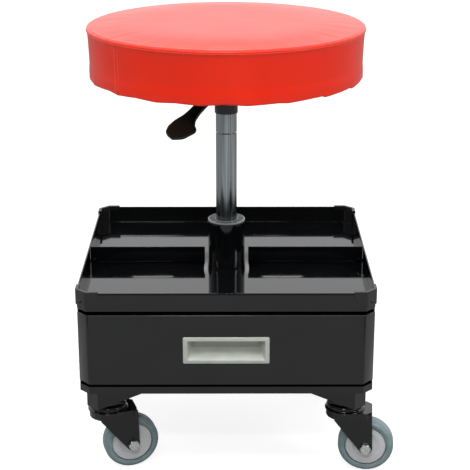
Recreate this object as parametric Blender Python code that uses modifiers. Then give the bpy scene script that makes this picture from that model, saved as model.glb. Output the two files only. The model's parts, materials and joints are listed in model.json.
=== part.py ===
"""A rolling mechanic's seat: a padded seat on a gas lift, over a tool tray and a drawer, on four casters.

Metres, +Z up. The origin is on the floor under the lift column, the drawer faces -Y and +X is to its right.
Every separate piece of the seat is one object. Pieces that move hang from an empty on their joint's axis.
"""

import math

import bmesh
import bpy
from mathutils import Matrix

# ---------------------------------------------------------------- driving dimensions
GAP = 0.0003                      # clearance between pieces that touch
SHEET = 0.0015                    # body sheet steel

# Round seat
SEAT_RADIUS = 0.1800              # at the welt round the top
SEAT_HEM_RADIUS = 0.1775          # at the lower edge of the band
SEAT_TOP = 0.5730                 # crown of the cushion
SEAT_WELT_Z = 0.5685
SEAT_UNDERSIDE = 0.5025
SEAT_HEM_WIDTH = 0.0180           # cover turned in and stapled under the board
COVER_THICKNESS = 0.0015
BOARD_RADIUS = 0.1735
BOARD_THICKNESS = 0.0120

# Seat mechanism, turned about the column so that its lever points forward and left
MECHANISM_TURN = math.radians(-36.0)
MOUNT_PLATE_HALF = 0.0760
MOUNT_PLATE_THICKNESS = 0.0030
HOUSING_HALF_WIDTH = 0.0240
HOUSING_FRONT = -0.0360
HOUSING_BACK = 0.0400
HOUSING_FLOOR = 0.4700
HOUSING_SHEET = 0.0020
SOCKET_RADIUS = 0.0154
SOCKET_BOTTOM = 0.4520
SOCKET_TOP = 0.4790
PLATE_BOLT_REACH = 0.0580
PLATE_BOLT_RADIUS = 0.0030
LEVER_PIN_RADIUS = 0.0030
LEVER_SLOT_HALF = 0.0075          # opening in the housing's front for the lever

# Lever
LEVER_PIVOT_Y = -0.0240           # from the column axis, along the mechanism
LEVER_PIVOT_Z = 0.4875
LEVER_DROOP = math.radians(24.0)
PADDLE_START = (-0.0240, -0.0135)  # y and z of the paddle's root from the pivot
PADDLE_THICKNESS = 0.0070

# Gas lift
CYLINDER_RADIUS = 0.0140
CYLINDER_BOTTOM = 0.2540
CYLINDER_TOP = 0.4800
CYLINDER_TOP_RADIUS = 0.0132      # end of the taper that wedges in the socket
CYLINDER_BORE = 0.0110
CYLINDER_GROOVE_Z = 0.4235
ROD_RADIUS = 0.0050
PISTON_Z = 0.2700
COLUMN_RADIUS = 0.0248
COLUMN_BORE = 0.0226
COLUMN_TOP = 0.3025
COLUMN_BOTTOM = 0.1135
COLUMN_FLANGE_RADIUS = 0.0450
COLUMN_FLANGE_THICKNESS = 0.0040
COLUMN_FOOT_THICKNESS = 0.0030
BUSH_LIP = 0.0020
BUSH_LENGTH = 0.0700
BUSH_POCKETS = 14

# Body: tray, cabinet and bottom pan share one outline with cut corners
BODY_HALF_WIDTH = 0.1875
BODY_HALF_DEPTH = 0.1770
BODY_CHAMFER = 0.0125
TRAY_RIM = 0.2646
TRAY_BOTTOM = 0.2395
PAN_TOP = 0.1369
PAN_BOTTOM = 0.1274
DIVIDER_INNER = 0.0295
CAP_REACH = 0.0280
CAP_BOTTOM = 0.2460
CAP_PROUD = 0.0015
CAP_INSIDE = -0.0045
CAP_INNER_BOTTOM = 0.2560
CAP_SLANT_END = 0.0150            # from the corner, where the slanted lower edge begins
DIVIDER_FOOT = 0.0100

# Drawer
DRAWER_FRONT_TOP = 0.2350
DRAWER_FRONT_BOTTOM = 0.1400
DRAWER_FRONT_RETURN = 0.0130
DRAWER_HALF_WIDTH = 0.1700
DRAWER_BACK = -0.0360
DRAWER_TOP = 0.2280
DRAWER_BOTTOM = 0.1450
DRAWER_SHEET = 0.0012
HANDLE_HALF_WIDTH = 0.0545
HANDLE_BOTTOM = 0.1705
HANDLE_TOP = 0.2058
HANDLE_FACE = -0.1799
HANDLE_POCKET = (0.0518, 0.1732, 0.2033)   # hole in the drawer's front: half width, lower and upper edge
HANDLE_MOUTH = (0.0490, 0.1755, 0.2010)
HANDLE_MOUTH_BACK = (0.0430, 0.1850, 0.1995)
HANDLE_DEPTH_Y = -0.1625
HANDLE_BACK_Y = -0.1605
SLIDE_Z = 0.1885

# Corner brackets and casters
BRACKET_X = 0.1805
BRACKET_Y = 0.1650
BRACKET_CHAMFER = 0.0150
BRACKET_LOW = 0.0985
BRACKET_REACH = 0.0715
BRACKET_SHEET = 0.0020
SHELF_TOP = 0.1085
SHELF_REACH_X = 0.0480
SHELF_REACH_Y = 0.0625
SWIVEL_X = 0.1554
SWIVEL_Y = 0.1320
TRAIL = 0.0288
WHEEL_RADIUS = 0.0365
TYRE_HALF_WIDTH = 0.0113
HUB_RADIUS = 0.0270
HUB_HALF_LENGTH = 0.0138
FORK_INNER = 0.0144
FORK_SHEET = 0.0026
HEAD_BOTTOM = 0.0780
HEAD_TOP = 0.0972
AXLE_RADIUS = 0.0038
AXLE_HEAD_RADIUS = 0.0075
CASTER_PLATE = (0.0225, 0.0280, 0.0115)   # half sizes and cut corner
RACE_RADIUS = 0.0215
KING_PIN_RADIUS = 0.0050
KING_PIN_HEAD_RADIUS = 0.0082
HUB_BOSS_RADIUS = 0.0105
HUB_WEB_HALF = 0.0092
CASTERS = {                       # side signs and the way each caster trails
    "front_left": (-1, -1, math.radians(17.0)),
    "front_right": (1, -1, math.radians(-6.0)),
    "rear_left": (-1, 1, math.radians(174.0)),
    "rear_right": (1, 1, math.radians(197.0)),
}

# ---------------------------------------------------------------- scene and materials
for leftover in list(bpy.data.objects):
    bpy.data.objects.remove(leftover, do_unlink=True)

parts = bpy.data.collections.new("rolling_seat")
cutters = bpy.data.collections.new("cutters")
bpy.context.scene.collection.children.link(parts)
bpy.context.scene.collection.children.link(cutters)


def finish(name, colour, roughness, metallic=0.0):
    """A Principled material of one colour."""
    material = bpy.data.materials.new(name)
    material.use_nodes = True
    shader = material.node_tree.nodes["Principled BSDF"]
    shader.inputs["Base Color"].default_value = (*colour, 1.0)
    shader.inputs["Roughness"].default_value = roughness
    shader.inputs["Metallic"].default_value = metallic
    return material


RED_VINYL = finish("red_vinyl", (0.72, 0.035, 0.010), 0.35)
PLYWOOD = finish("plywood", (0.50, 0.32, 0.17), 0.7)
BLACK_STEEL = finish("black_coated_steel", (0.012, 0.012, 0.013), 0.25)
BLACK_PLASTIC = finish("black_plastic", (0.018, 0.018, 0.019), 0.5)
CHROME = finish("chromed_steel", (0.55, 0.57, 0.58), 0.15, 1.0)
ZINC = finish("zinc_plated_steel", (0.60, 0.60, 0.58), 0.3, 1.0)
LIGHT_PLASTIC = finish("light_grey_plastic", (0.55, 0.56, 0.52), 0.45)
HUB_PLASTIC = finish("grey_hub_plastic", (0.36, 0.36, 0.36), 0.5)
GREY_RUBBER = finish("grey_rubber", (0.13, 0.17, 0.18), 0.6)
GALVANISED = finish("galvanised_steel", (0.50, 0.51, 0.52), 0.4, 1.0)


# ---------------------------------------------------------------- helpers
def add_piece(name, mesh, material, parent=None):
    """Links a mesh to the object's collection as one named piece."""
    mesh.materials.clear()
    mesh.materials.append(material)
    mesh.shade_smooth()
    mesh.set_sharp_from_angle(angle=math.radians(32.0))
    piece = bpy.data.objects.new(name, mesh)
    piece.parent = parent
    parts.objects.link(piece)
    return piece


def add_cutter(name, mesh, parent=None):
    """Links a mesh as a cutter: drawn as wire and never rendered."""
    cutter = bpy.data.objects.new(name, mesh)
    cutter.parent = parent
    cutter.hide_render = True
    cutter.display_type = "WIRE"
    cutters.objects.link(cutter)
    return cutter


def add_joint(name, location, turn=0.0, parent=None):
    """An empty on a joint's axis that the moving pieces hang from."""
    joint = bpy.data.objects.new(name, None)
    joint.location = location
    joint.rotation_euler = (0.0, 0.0, turn)
    joint.parent = parent
    parts.objects.link(joint)
    return joint


def combine(piece, tools, operation):
    """Cuts a piece with other solids, or joins them to it."""
    for tool in tools:
        modifier = piece.modifiers.new(tool.name, "BOOLEAN")
        modifier.operation = operation
        modifier.solver = "EXACT"
        modifier.object = tool


def cut(piece, *meshes):
    """Takes the shapes of the meshes out of a piece."""
    tools = [add_cutter(f"{piece.name}_cut_{i}", mesh, piece.parent) for i, mesh in enumerate(meshes)]
    combine(piece, tools, "DIFFERENCE")


def join(piece, *meshes):
    """Welds the shapes of the meshes to a piece."""
    tools = [add_cutter(f"{piece.name}_join_{i}", mesh, piece.parent) for i, mesh in enumerate(meshes)]
    combine(piece, tools, "UNION")


def bevel(piece, width, segments=1, angle=40.0):
    """Rounds or breaks the edges sharper than an angle."""
    modifier = piece.modifiers.new("edges", "BEVEL")
    modifier.width = width
    modifier.segments = segments
    modifier.limit_method = "ANGLE"
    modifier.angle_limit = math.radians(angle)


def solidify(piece, thickness):
    """Gives an open surface a wall on its inner side."""
    modifier = piece.modifiers.new("sheet", "SOLIDIFY")
    modifier.thickness = thickness
    modifier.offset = -1.0
    modifier.use_even_offset = True


def mesh_from(form, name="form"):
    """Turns a bmesh into a mesh with its faces pointing out."""
    bmesh.ops.recalc_face_normals(form, faces=form.faces)
    mesh = bpy.data.meshes.new(name)
    form.to_mesh(mesh)
    form.free()
    return mesh


def moved(mesh, matrix):
    """Moves a mesh and keeps its faces pointing out when the move mirrors it."""
    mesh.transform(matrix)
    if matrix.determinant() < 0.0:
        mesh.flip_normals()
    return mesh


def box(low, high):
    """A box between two corners."""
    form = bmesh.new()
    bmesh.ops.create_cube(form, size=1.0)
    size = [b - a for a, b in zip(low, high)]
    centre = [(a + b) / 2.0 for a, b in zip(low, high)]
    place = Matrix.Translation(centre) @ Matrix.Diagonal((*size, 1.0))
    bmesh.ops.transform(form, verts=form.verts, matrix=place)
    return mesh_from(form)


def cylinder(radius, low, high, sides=32, top_radius=None):
    """An upright cylinder or cone on the Z axis."""
    form = bmesh.new()
    top = radius if top_radius is None else top_radius
    bmesh.ops.create_cone(form, cap_ends=True, segments=sides, radius1=radius, radius2=top, depth=high - low)
    bmesh.ops.translate(form, verts=form.verts, vec=(0.0, 0.0, (low + high) / 2.0))
    return mesh_from(form)


def plate(outline, low, high, holes=()):
    """A flat outline in the XY plane given a thickness from low to high, with any holes."""
    curve = bpy.data.curves.new("outline", "CURVE")
    curve.dimensions = "2D"
    curve.fill_mode = "BOTH"
    curve.extrude = (high - low) / 2.0
    for loop in (outline, *holes):
        spline = curve.splines.new("POLY")
        spline.points.add(len(loop) - 1)
        for point, (x, y) in zip(spline.points, loop):
            point.co = (x, y, 0.0, 1.0)
        spline.use_cyclic_u = True
    drawn = bpy.data.objects.new("outline", curve)
    mesh = bpy.data.meshes.new_from_object(drawn)
    bpy.data.objects.remove(drawn)
    form = bmesh.new()
    form.from_mesh(mesh)
    bmesh.ops.remove_doubles(form, verts=form.verts, dist=0.00001)
    bmesh.ops.translate(form, verts=form.verts, vec=(0.0, 0.0, (low + high) / 2.0))
    return mesh_from(form)


def turned(name, profile, material, steps=32, closed=False, parent=None):
    """A turned piece: a profile of (radius, height), down its outer side, swept round Z."""
    form = bmesh.new()
    points = [form.verts.new((radius, 0.0, height)) for radius, height in profile]
    for first, second in zip(points, points[1:]):
        form.edges.new((first, second))
    if closed:
        form.edges.new((points[-1], points[0]))
    mesh = bpy.data.meshes.new(name)
    form.to_mesh(mesh)
    form.free()
    piece = add_piece(name, mesh, material, parent)
    screw = piece.modifiers.new("turned", "SCREW")
    screw.steps = steps
    screw.render_steps = steps
    screw.use_merge_vertices = True
    screw.merge_threshold = 0.00001
    screw.use_smooth_shade = True
    return piece


def turned_mesh(profile, steps=32, closed=False):
    """The mesh of a turned shape, for joining to or cutting from another."""
    shape = turned("turned_shape", profile, BLACK_STEEL, steps, closed)
    bpy.context.view_layer.update()
    mesh = bpy.data.meshes.new_from_object(shape.evaluated_get(bpy.context.evaluated_depsgraph_get()))
    bpy.data.objects.remove(shape)
    return mesh


def arc(centre, radius, start, end, count):
    """Points on an arc, angles in degrees."""
    angles = [math.radians(start + (end - start) * i / (count - 1)) for i in range(count)]
    return [(centre[0] + radius * math.cos(a), centre[1] + radius * math.sin(a)) for a in angles]


def cut_corner_outline(half_x, half_y, chamfer):
    """A rectangle with its four corners cut at 45 degrees."""
    corner = [(half_x, half_y - chamfer), (half_x - chamfer, half_y)]
    flipped = [(-x, y) for x, y in reversed(corner)]
    return corner + flipped + [(-x, -y) for x, y in corner] + [(-x, -y) for x, y in flipped]


def open_box(outline, low, high, open_sides=(), top=False, flange=0.0):
    """A sheet box on an outline: floor and walls, with a top or inward flanges where asked."""
    form = bmesh.new()
    floor = form.faces.new([form.verts.new((x, y, low)) for x, y in outline])
    grown = bmesh.ops.extrude_face_region(form, geom=[floor], use_keep_orig=True)
    lifted = [item for item in grown["geom"] if isinstance(item, bmesh.types.BMVert)]
    bmesh.ops.translate(form, verts=lifted, vec=(0.0, 0.0, high - low))
    bmesh.ops.recalc_face_normals(form, faces=form.faces)
    ends = [face for face in form.faces if abs(face.normal.z) > 0.9]
    removed = []
    if flange:
        bmesh.ops.inset_individual(form, faces=ends, thickness=flange, use_even_offset=True)
        removed += ends
    elif not top:
        removed += [face for face in ends if face.normal.z > 0.0]
    for side in open_sides:
        removed += [face for face in form.faces if face.normal.dot(side) > 0.99]
    bmesh.ops.delete(form, geom=removed, context="FACES")
    mesh = bpy.data.meshes.new("open_box")
    form.to_mesh(mesh)
    form.free()
    return mesh


def mirror_to(side_x, side_y):
    """A matrix that puts a shape drawn in the +X +Y corner into another corner."""
    return Matrix.Diagonal((side_x, side_y, 1.0, 1.0))


ON_Y = Matrix.Rotation(math.radians(90.0), 4, "X")      # Z becomes -Y, Y becomes Z
ALONG_X = Matrix.Rotation(math.radians(90.0), 4, "Z") @ ON_Y   # drawn X and Y become Y and Z

# ---------------------------------------------------------------- body
COLUMN_HOLE = COLUMN_RADIUS + GAP


def make_tray():
    """The open tool tray, with a hole for the column, and its two dividers."""
    outline = cut_corner_outline(BODY_HALF_WIDTH, BODY_HALF_DEPTH, BODY_CHAMFER)
    tray = add_piece("tray", open_box(outline, TRAY_BOTTOM, TRAY_RIM), BLACK_STEEL)
    solidify(tray, SHEET)
    cut(tray, cylinder(COLUMN_HOLE, TRAY_BOTTOM - 0.01, TRAY_BOTTOM + 0.01, 40))
    floor = TRAY_BOTTOM + SHEET + GAP
    rise = TRAY_RIM - 2 * GAP
    section = [(-SHEET / 2, floor), (DIVIDER_FOOT, floor), (DIVIDER_FOOT, floor + SHEET),
               (SHEET / 2, floor + SHEET),
               (SHEET / 2, rise), (-SHEET / 2, rise)]
    outer = BODY_HALF_WIDTH - SHEET - GAP
    for name, side in (("divider_left", -1), ("divider_right", 1)):
        ends = sorted((side * DIVIDER_INNER, side * outer))
        add_piece(name, moved(plate(section, *ends), ALONG_X), BLACK_STEEL)


def corner_path(offset, reach):
    """The body's corner line moved outwards by an offset, ending a reach from the corner."""
    x = BODY_HALF_WIDTH + offset
    y = BODY_HALF_DEPTH + offset
    chamfer = BODY_CHAMFER + offset * (2.0 - math.sqrt(2.0))
    return [(BODY_HALF_WIDTH - reach, y), (x - chamfer, y), (x, y - chamfer), (x, BODY_HALF_DEPTH - reach)]


def make_corner_caps():
    """Four moulded caps that clip over the tray's rim at its corners."""
    top = TRAY_RIM + GAP + CAP_PROUD
    for name, (side_x, side_y, _) in CASTERS.items():
        to_corner = mirror_to(side_x, side_y)
        band = corner_path(CAP_PROUD, CAP_REACH) + corner_path(CAP_INSIDE, CAP_REACH)[::-1]
        slot = corner_path(GAP, CAP_REACH + 0.01) + corner_path(-SHEET - GAP, CAP_REACH + 0.01)[::-1]
        back = corner_path(-SHEET - GAP / 2, CAP_REACH + 0.01) + [(BODY_HALF_WIDTH - CAP_REACH - 0.01,
                                                                   BODY_HALF_DEPTH - CAP_REACH - 0.01)]
        cap = add_piece(f"corner_cap_{name}", moved(plate(band, CAP_BOTTOM, top), to_corner), BLACK_PLASTIC)
        front = [(BODY_HALF_WIDTH - CAP_REACH - 0.002, CAP_BOTTOM - 0.001),
                 (BODY_HALF_WIDTH - CAP_SLANT_END, CAP_BOTTOM - 0.001),
                 (BODY_HALF_WIDTH - CAP_REACH - 0.002, CAP_INNER_BOTTOM)]
        side = [(x - BODY_HALF_WIDTH + BODY_HALF_DEPTH, z) for x, z in front]
        front_slant = moved(plate(front, -BODY_HALF_DEPTH - 0.01, -BODY_HALF_DEPTH + 0.001), ON_Y)
        side_slant = moved(plate(side, BODY_HALF_WIDTH - 0.001, BODY_HALF_WIDTH + 0.01), ALONG_X)
        cut(cap,
            moved(plate(slot, CAP_BOTTOM - 0.01, TRAY_RIM + GAP), to_corner),
            moved(plate(back, CAP_BOTTOM - 0.01, CAP_INNER_BOTTOM + 0.001), to_corner),
            moved(front_slant, to_corner),
            moved(side_slant, to_corner))


def make_cabinet():
    """The cabinet round the drawer: sides and back with turned-in edges, over a shallow bottom pan."""
    x = BODY_HALF_WIDTH - 0.0005
    back = BODY_HALF_DEPTH - 0.0005
    front = -BODY_HALF_DEPTH + DRAWER_FRONT_RETURN + 0.0015
    outline = [(-x, front), (x, front), (x, back - BODY_CHAMFER), (x - BODY_CHAMFER, back),
               (-x + BODY_CHAMFER, back), (-x, back - BODY_CHAMFER)]
    sheet = open_box(outline, PAN_TOP + GAP, TRAY_BOTTOM - GAP, open_sides=[(0.0, -1.0, 0.0)], flange=0.0140)
    cabinet = add_piece("cabinet_shell", sheet, BLACK_STEEL)
    solidify(cabinet, SHEET)
    pan_outline = cut_corner_outline(BODY_HALF_WIDTH - 0.0005, BODY_HALF_DEPTH - 0.0005, BODY_CHAMFER)
    pan = add_piece("bottom_pan", open_box(pan_outline, PAN_BOTTOM, PAN_TOP), BLACK_STEEL)
    solidify(pan, SHEET)
    cut(pan, cylinder(COLUMN_HOLE, PAN_BOTTOM - 0.01, PAN_BOTTOM + 0.005, 40))


def make_column():
    """The lift column with its welded base flange, and the ribbed guide bush in its mouth."""
    flange_top = PAN_BOTTOM - GAP
    flange_bottom = flange_top - COLUMN_FLANGE_THICKNESS
    turned("column_tube", [
        (COLUMN_BORE, COLUMN_TOP), (COLUMN_RADIUS, COLUMN_TOP), (COLUMN_RADIUS, flange_top),
        (COLUMN_FLANGE_RADIUS, flange_top), (COLUMN_FLANGE_RADIUS, flange_bottom),
        (COLUMN_RADIUS, flange_bottom),
        (COLUMN_RADIUS, COLUMN_BOTTOM), (ROD_RADIUS + 0.0005, COLUMN_BOTTOM),
        (ROD_RADIUS + 0.0005, COLUMN_BOTTOM + COLUMN_FOOT_THICKNESS),
        (COLUMN_BORE, COLUMN_BOTTOM + COLUMN_FOOT_THICKNESS),
    ], BLACK_STEEL, steps=32, closed=True)
    inner = CYLINDER_RADIUS + 0.00025
    outer = COLUMN_BORE - GAP
    lip = COLUMN_TOP + GAP
    bush = turned("guide_bush", [
        (inner, lip + BUSH_LIP), (COLUMN_RADIUS, lip + BUSH_LIP), (COLUMN_RADIUS, lip),
        (outer, lip), (outer, COLUMN_TOP - BUSH_LENGTH), (inner, COLUMN_TOP - BUSH_LENGTH),
    ], LIGHT_PLASTIC, steps=32, closed=True)
    pocket_form = bmesh.new()
    pocket_place = Matrix.Translation((0.0190, 0.0, lip)) @ Matrix.Diagonal((0.0046, 0.0052, 0.0120, 1.0))
    for i in range(BUSH_POCKETS):
        place = Matrix.Rotation(math.tau * i / BUSH_POCKETS, 4, "Z") @ pocket_place
        bmesh.ops.create_cube(pocket_form, size=1.0, matrix=place)
    cut(bush, mesh_from(pocket_form))


# ---------------------------------------------------------------- drawer
def make_drawer():
    """The drawer: a sheet box, a folded front, a recessed pull and a slide on each side."""
    face = -BODY_HALF_DEPTH
    joint = add_joint("drawer_slide", (0.0, face, SLIDE_Z))
    to_joint = Matrix.Translation((0.0, -face, -SLIDE_Z))
    x = BODY_HALF_WIDTH
    depth = DRAWER_FRONT_RETURN
    outline = [(-x, face + depth), (-x + depth, face), (x - depth, face), (x, face + depth)]
    hole_x, hole_low, hole_high = HANDLE_POCKET
    hole = box((-hole_x, face - 0.01, hole_low), (hole_x, face + 0.01, hole_high))
    shell = open_box(outline, DRAWER_FRONT_BOTTOM, DRAWER_FRONT_TOP, open_sides=[(0.0, 1.0, 0.0)], top=True)
    front = add_piece("drawer_front", moved(shell, to_joint), BLACK_STEEL, joint)
    solidify(front, DRAWER_SHEET)
    cut(front, moved(hole.copy(), to_joint))

    box_front = face + DRAWER_SHEET + GAP
    half = DRAWER_HALF_WIDTH
    floor_outline = [(-half, box_front), (half, box_front), (half, DRAWER_BACK), (-half, DRAWER_BACK)]
    tub = add_piece("drawer_box", moved(open_box(floor_outline, DRAWER_BOTTOM, DRAWER_TOP), to_joint),
                    BLACK_STEEL, joint)
    solidify(tub, DRAWER_SHEET)
    cut(tub, moved(hole, to_joint))

    make_pull(joint, to_joint, face)
    rail_inner = half + GAP
    rail_outer = half + 0.0115
    rail_half = 0.0080
    wall = 0.0012
    rail_section = [(rail_inner, -rail_half), (rail_outer, -rail_half), (rail_outer, -rail_half + wall),
                    (rail_inner + wall, -rail_half + wall), (rail_inner + wall, rail_half - wall),
                    (rail_outer, rail_half - wall), (rail_outer, rail_half), (rail_inner, rail_half)]
    channel_outer = BODY_HALF_WIDTH - 0.0005 - SHEET - GAP
    channel_inner = half + 0.0035
    channel_half = 0.0105
    channel_section = [(channel_outer, -channel_half), (channel_outer, channel_half),
                       (channel_inner, channel_half), (channel_inner, channel_half - wall),
                       (channel_outer - wall, channel_half - wall),
                       (channel_outer - wall, -channel_half + wall),
                       (channel_inner, -channel_half + wall), (channel_inner, -channel_half)]
    for name, side in (("left", -1), ("right", 1)):
        mirror = mirror_to(side, 1)
        rail = moved(plate(rail_section, 0.030, 0.162), mirror @ ON_Y)
        rail = moved(rail, Matrix.Translation((0.0, -face, 0.0)))
        add_piece(f"drawer_rail_{name}", rail, GALVANISED, joint)
        channel = moved(plate(channel_section, 0.018, 0.161), mirror @ ON_Y)
        add_piece(f"runner_{name}", moved(channel, Matrix.Translation((0.0, 0.0, SLIDE_Z))), GALVANISED)


def make_pull(joint, to_joint, face):
    """The moulded pull: a bezel on the drawer's face with a pocket for the fingers behind it."""
    hole_x, hole_low, hole_high = HANDLE_POCKET
    bezel = box((-HANDLE_HALF_WIDTH, HANDLE_FACE, HANDLE_BOTTOM), (HANDLE_HALF_WIDTH, face - GAP, HANDLE_TOP))
    pocket = box((-hole_x + GAP, face - 0.001, hole_low + GAP),
                 (hole_x - GAP, HANDLE_BACK_Y, hole_high - GAP))
    form = bmesh.new()
    bmesh.ops.create_cube(form, size=1.0)
    for vertex in form.verts:
        half, low, high = HANDLE_MOUTH if vertex.co.y < 0.0 else HANDLE_MOUTH_BACK
        vertex.co.x = math.copysign(half, vertex.co.x)
        vertex.co.z = high if vertex.co.z > 0.0 else low
        vertex.co.y = HANDLE_FACE - 0.0002 if vertex.co.y < 0.0 else HANDLE_DEPTH_Y
    handle = add_piece("drawer_handle", moved(bezel, to_joint), LIGHT_PLASTIC, joint)
    join(handle, moved(pocket, to_joint))
    cut(handle, moved(mesh_from(form), to_joint))


# ---------------------------------------------------------------- corner brackets and casters
def make_bracket(name, side_x, side_y):
    """A folded corner bracket under the body: two tapering walls, a cut corner and a shelf for the caster."""
    top = PAN_BOTTOM - GAP
    inner_x = BRACKET_X - BRACKET_REACH
    inner_y = BRACKET_Y - BRACKET_REACH
    to_corner = mirror_to(side_x, side_y)

    def corner(offset, margin):
        x = BRACKET_X - offset
        y = BRACKET_Y - offset
        chamfer = BRACKET_CHAMFER - offset * (2.0 - math.sqrt(2.0))
        return [(inner_x - margin, y), (x - chamfer, y), (x, y - chamfer), (x, inner_y - margin),
                (inner_x - margin, inner_y - margin)]

    block = moved(plate(corner(0.0, 0.0), BRACKET_LOW, top), to_corner)
    bracket = add_piece(f"corner_bracket_{name}", block, BLACK_STEEL)
    rise = top - 0.0045
    fold = BRACKET_X - BRACKET_CHAMFER
    front = [(fold, BRACKET_LOW), (inner_x - 0.002, rise), (inner_x - 0.002, BRACKET_LOW - 0.01),
             (fold, BRACKET_LOW - 0.01)]
    side = [(x - BRACKET_X + BRACKET_Y, z) for x, z in front]
    front_taper = moved(plate(front, -BRACKET_Y - 0.01, -BRACKET_Y + BRACKET_SHEET + 0.0001), ON_Y)
    side_taper = moved(plate(side, BRACKET_X - BRACKET_SHEET - 0.0001, BRACKET_X + 0.01), ALONG_X)
    hollow = corner(BRACKET_SHEET, 0.01)
    wall_x = BRACKET_X - BRACKET_SHEET
    wall_y = BRACKET_Y - BRACKET_SHEET
    shelf_x = BRACKET_X - SHELF_REACH_X
    shelf_y = BRACKET_Y - SHELF_REACH_Y
    beyond = [(inner_x - 0.01, wall_y), (shelf_x, wall_y), (shelf_x, shelf_y + 0.01),
              (shelf_x + 0.01, shelf_y), (wall_x, shelf_y), (wall_x, inner_y - 0.01),
              (inner_x - 0.01, inner_y - 0.01)]
    cut(bracket,
        moved(plate(beyond, BRACKET_LOW - 0.01, top + 0.01), to_corner),
        moved(plate(hollow, SHELF_TOP, top + 0.01), to_corner),
        moved(plate(hollow, BRACKET_LOW - 0.01, SHELF_TOP - BRACKET_SHEET), to_corner),
        moved(front_taper, to_corner),
        moved(side_taper, to_corner))


def make_caster(name, side_x, side_y, turn):
    """A caster: fixed plate with its race and king pin, swivelling fork, axle bolt, hub and tyre."""
    place = Matrix.Translation((side_x * SWIVEL_X, side_y * SWIVEL_Y, 0.0))
    plate_top = SHELF_TOP - BRACKET_SHEET - GAP
    plate_bottom = plate_top - 0.0025
    race_bottom = HEAD_TOP + GAP
    pin = KING_PIN_RADIUS
    pin_head = KING_PIN_HEAD_RADIUS
    pin_head_top = HEAD_BOTTOM - GAP
    outline = cut_corner_outline(*CASTER_PLATE)
    flat = moved(plate(outline, plate_bottom, plate_top), place)
    fixed = add_piece(f"caster_plate_{name}", flat, BLACK_STEEL)
    race = turned_mesh([
        (0.0, plate_bottom + 0.001), (RACE_RADIUS, plate_bottom + 0.001), (RACE_RADIUS, race_bottom + 0.001),
        (0.0200, race_bottom), (pin, race_bottom), (pin, pin_head_top), (pin_head, pin_head_top),
        (pin_head, pin_head_top - 0.0018), (0.0, pin_head_top - 0.0018),
    ], 24)
    join(fixed, moved(race, place))

    swivel = add_joint(f"swivel_{name}", (side_x * SWIVEL_X, side_y * SWIVEL_Y, 0.0), turn)
    make_fork(name, swivel)
    axle = add_joint(f"axle_{name}", (TRAIL, 0.0, WHEEL_RADIUS), 0.0, swivel)
    axle.rotation_euler = (math.radians(90.0), 0.0, 0.0)
    make_wheel(name, axle)


def make_fork(name, swivel):
    """The fork: a pressed head over two tapering legs."""
    nose = [(0.0290, -0.0190), (0.0355, -0.0130), (0.0355, 0.0130), (0.0290, 0.0190)]
    head_outline = arc((0.0, 0.0), 0.0245, 62.0, 298.0, 15) + nose
    neck = HEAD_BOTTOM + 0.0090
    fork = add_piece(f"fork_{name}", plate(head_outline, HEAD_BOTTOM, neck), BLACK_STEEL, swivel)
    tip = 0.0090
    leg = [(TRAIL + 0.0072, neck - 0.002), (-0.0130, neck - 0.002), (-0.0130, HEAD_BOTTOM - 0.0035)]
    leg += arc((TRAIL, WHEEL_RADIUS), tip, 219.0, 360.0, 8)
    dome = turned_mesh([(0.0, HEAD_TOP), (0.0205, HEAD_TOP), (0.0232, HEAD_TOP - 0.0020),
                        (0.0238, neck - 0.001), (0.0, neck - 0.001)], 24)
    insides = (FORK_INNER, -FORK_INNER - FORK_SHEET)
    legs = [moved(plate(leg, inside, inside + FORK_SHEET), ON_Y) for inside in insides]
    join(fork, dome, *legs)
    bolt_hole = moved(cylinder(AXLE_RADIUS + 0.0004, -0.03, 0.03, 16), ON_Y)
    cut(fork,
        cylinder(0.0055, HEAD_BOTTOM - 0.01, HEAD_TOP + 0.01, 24),
        moved(bolt_hole, Matrix.Translation((TRAIL, 0.0, WHEEL_RADIUS))))


def make_wheel(name, axle):
    """Axle bolt with its nut, hub and rubber tyre, all turned about the axle."""
    outer = FORK_INNER + FORK_SHEET + GAP
    shank = cylinder(AXLE_RADIUS, -outer - 0.003, outer + 0.0095, 16)
    bolt = add_piece(f"axle_bolt_{name}", shank, ZINC, axle)
    nut = cylinder(AXLE_HEAD_RADIUS, outer, outer + 0.0065, 6)
    head = cylinder(AXLE_HEAD_RADIUS, -outer - 0.0053, -outer, 6)
    join(bolt, nut, head)

    bore = AXLE_RADIUS + 0.0004
    boss = HUB_BOSS_RADIUS
    web = HUB_WEB_HALF
    turned(f"hub_{name}", [
        (bore, HUB_HALF_LENGTH), (boss - 0.001, HUB_HALF_LENGTH), (boss, web), (HUB_RADIUS, web),
        (HUB_RADIUS, -web), (boss, -web), (boss - 0.001, -HUB_HALF_LENGTH), (bore, -HUB_HALF_LENGTH),
    ], HUB_PLASTIC, steps=24, closed=True, parent=axle)
    inner = HUB_RADIUS + GAP
    half = TYRE_HALF_WIDTH
    crown = [(inner, half - 0.0012), (WHEEL_RADIUS - 0.0050, half), (WHEEL_RADIUS - 0.0015, half - 0.0028),
             (WHEEL_RADIUS, half - 0.0080)]
    turned(f"tyre_{name}", crown + [(r, -z) for r, z in reversed(crown)], GREY_RUBBER, steps=32, closed=True,
           parent=axle)


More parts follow.
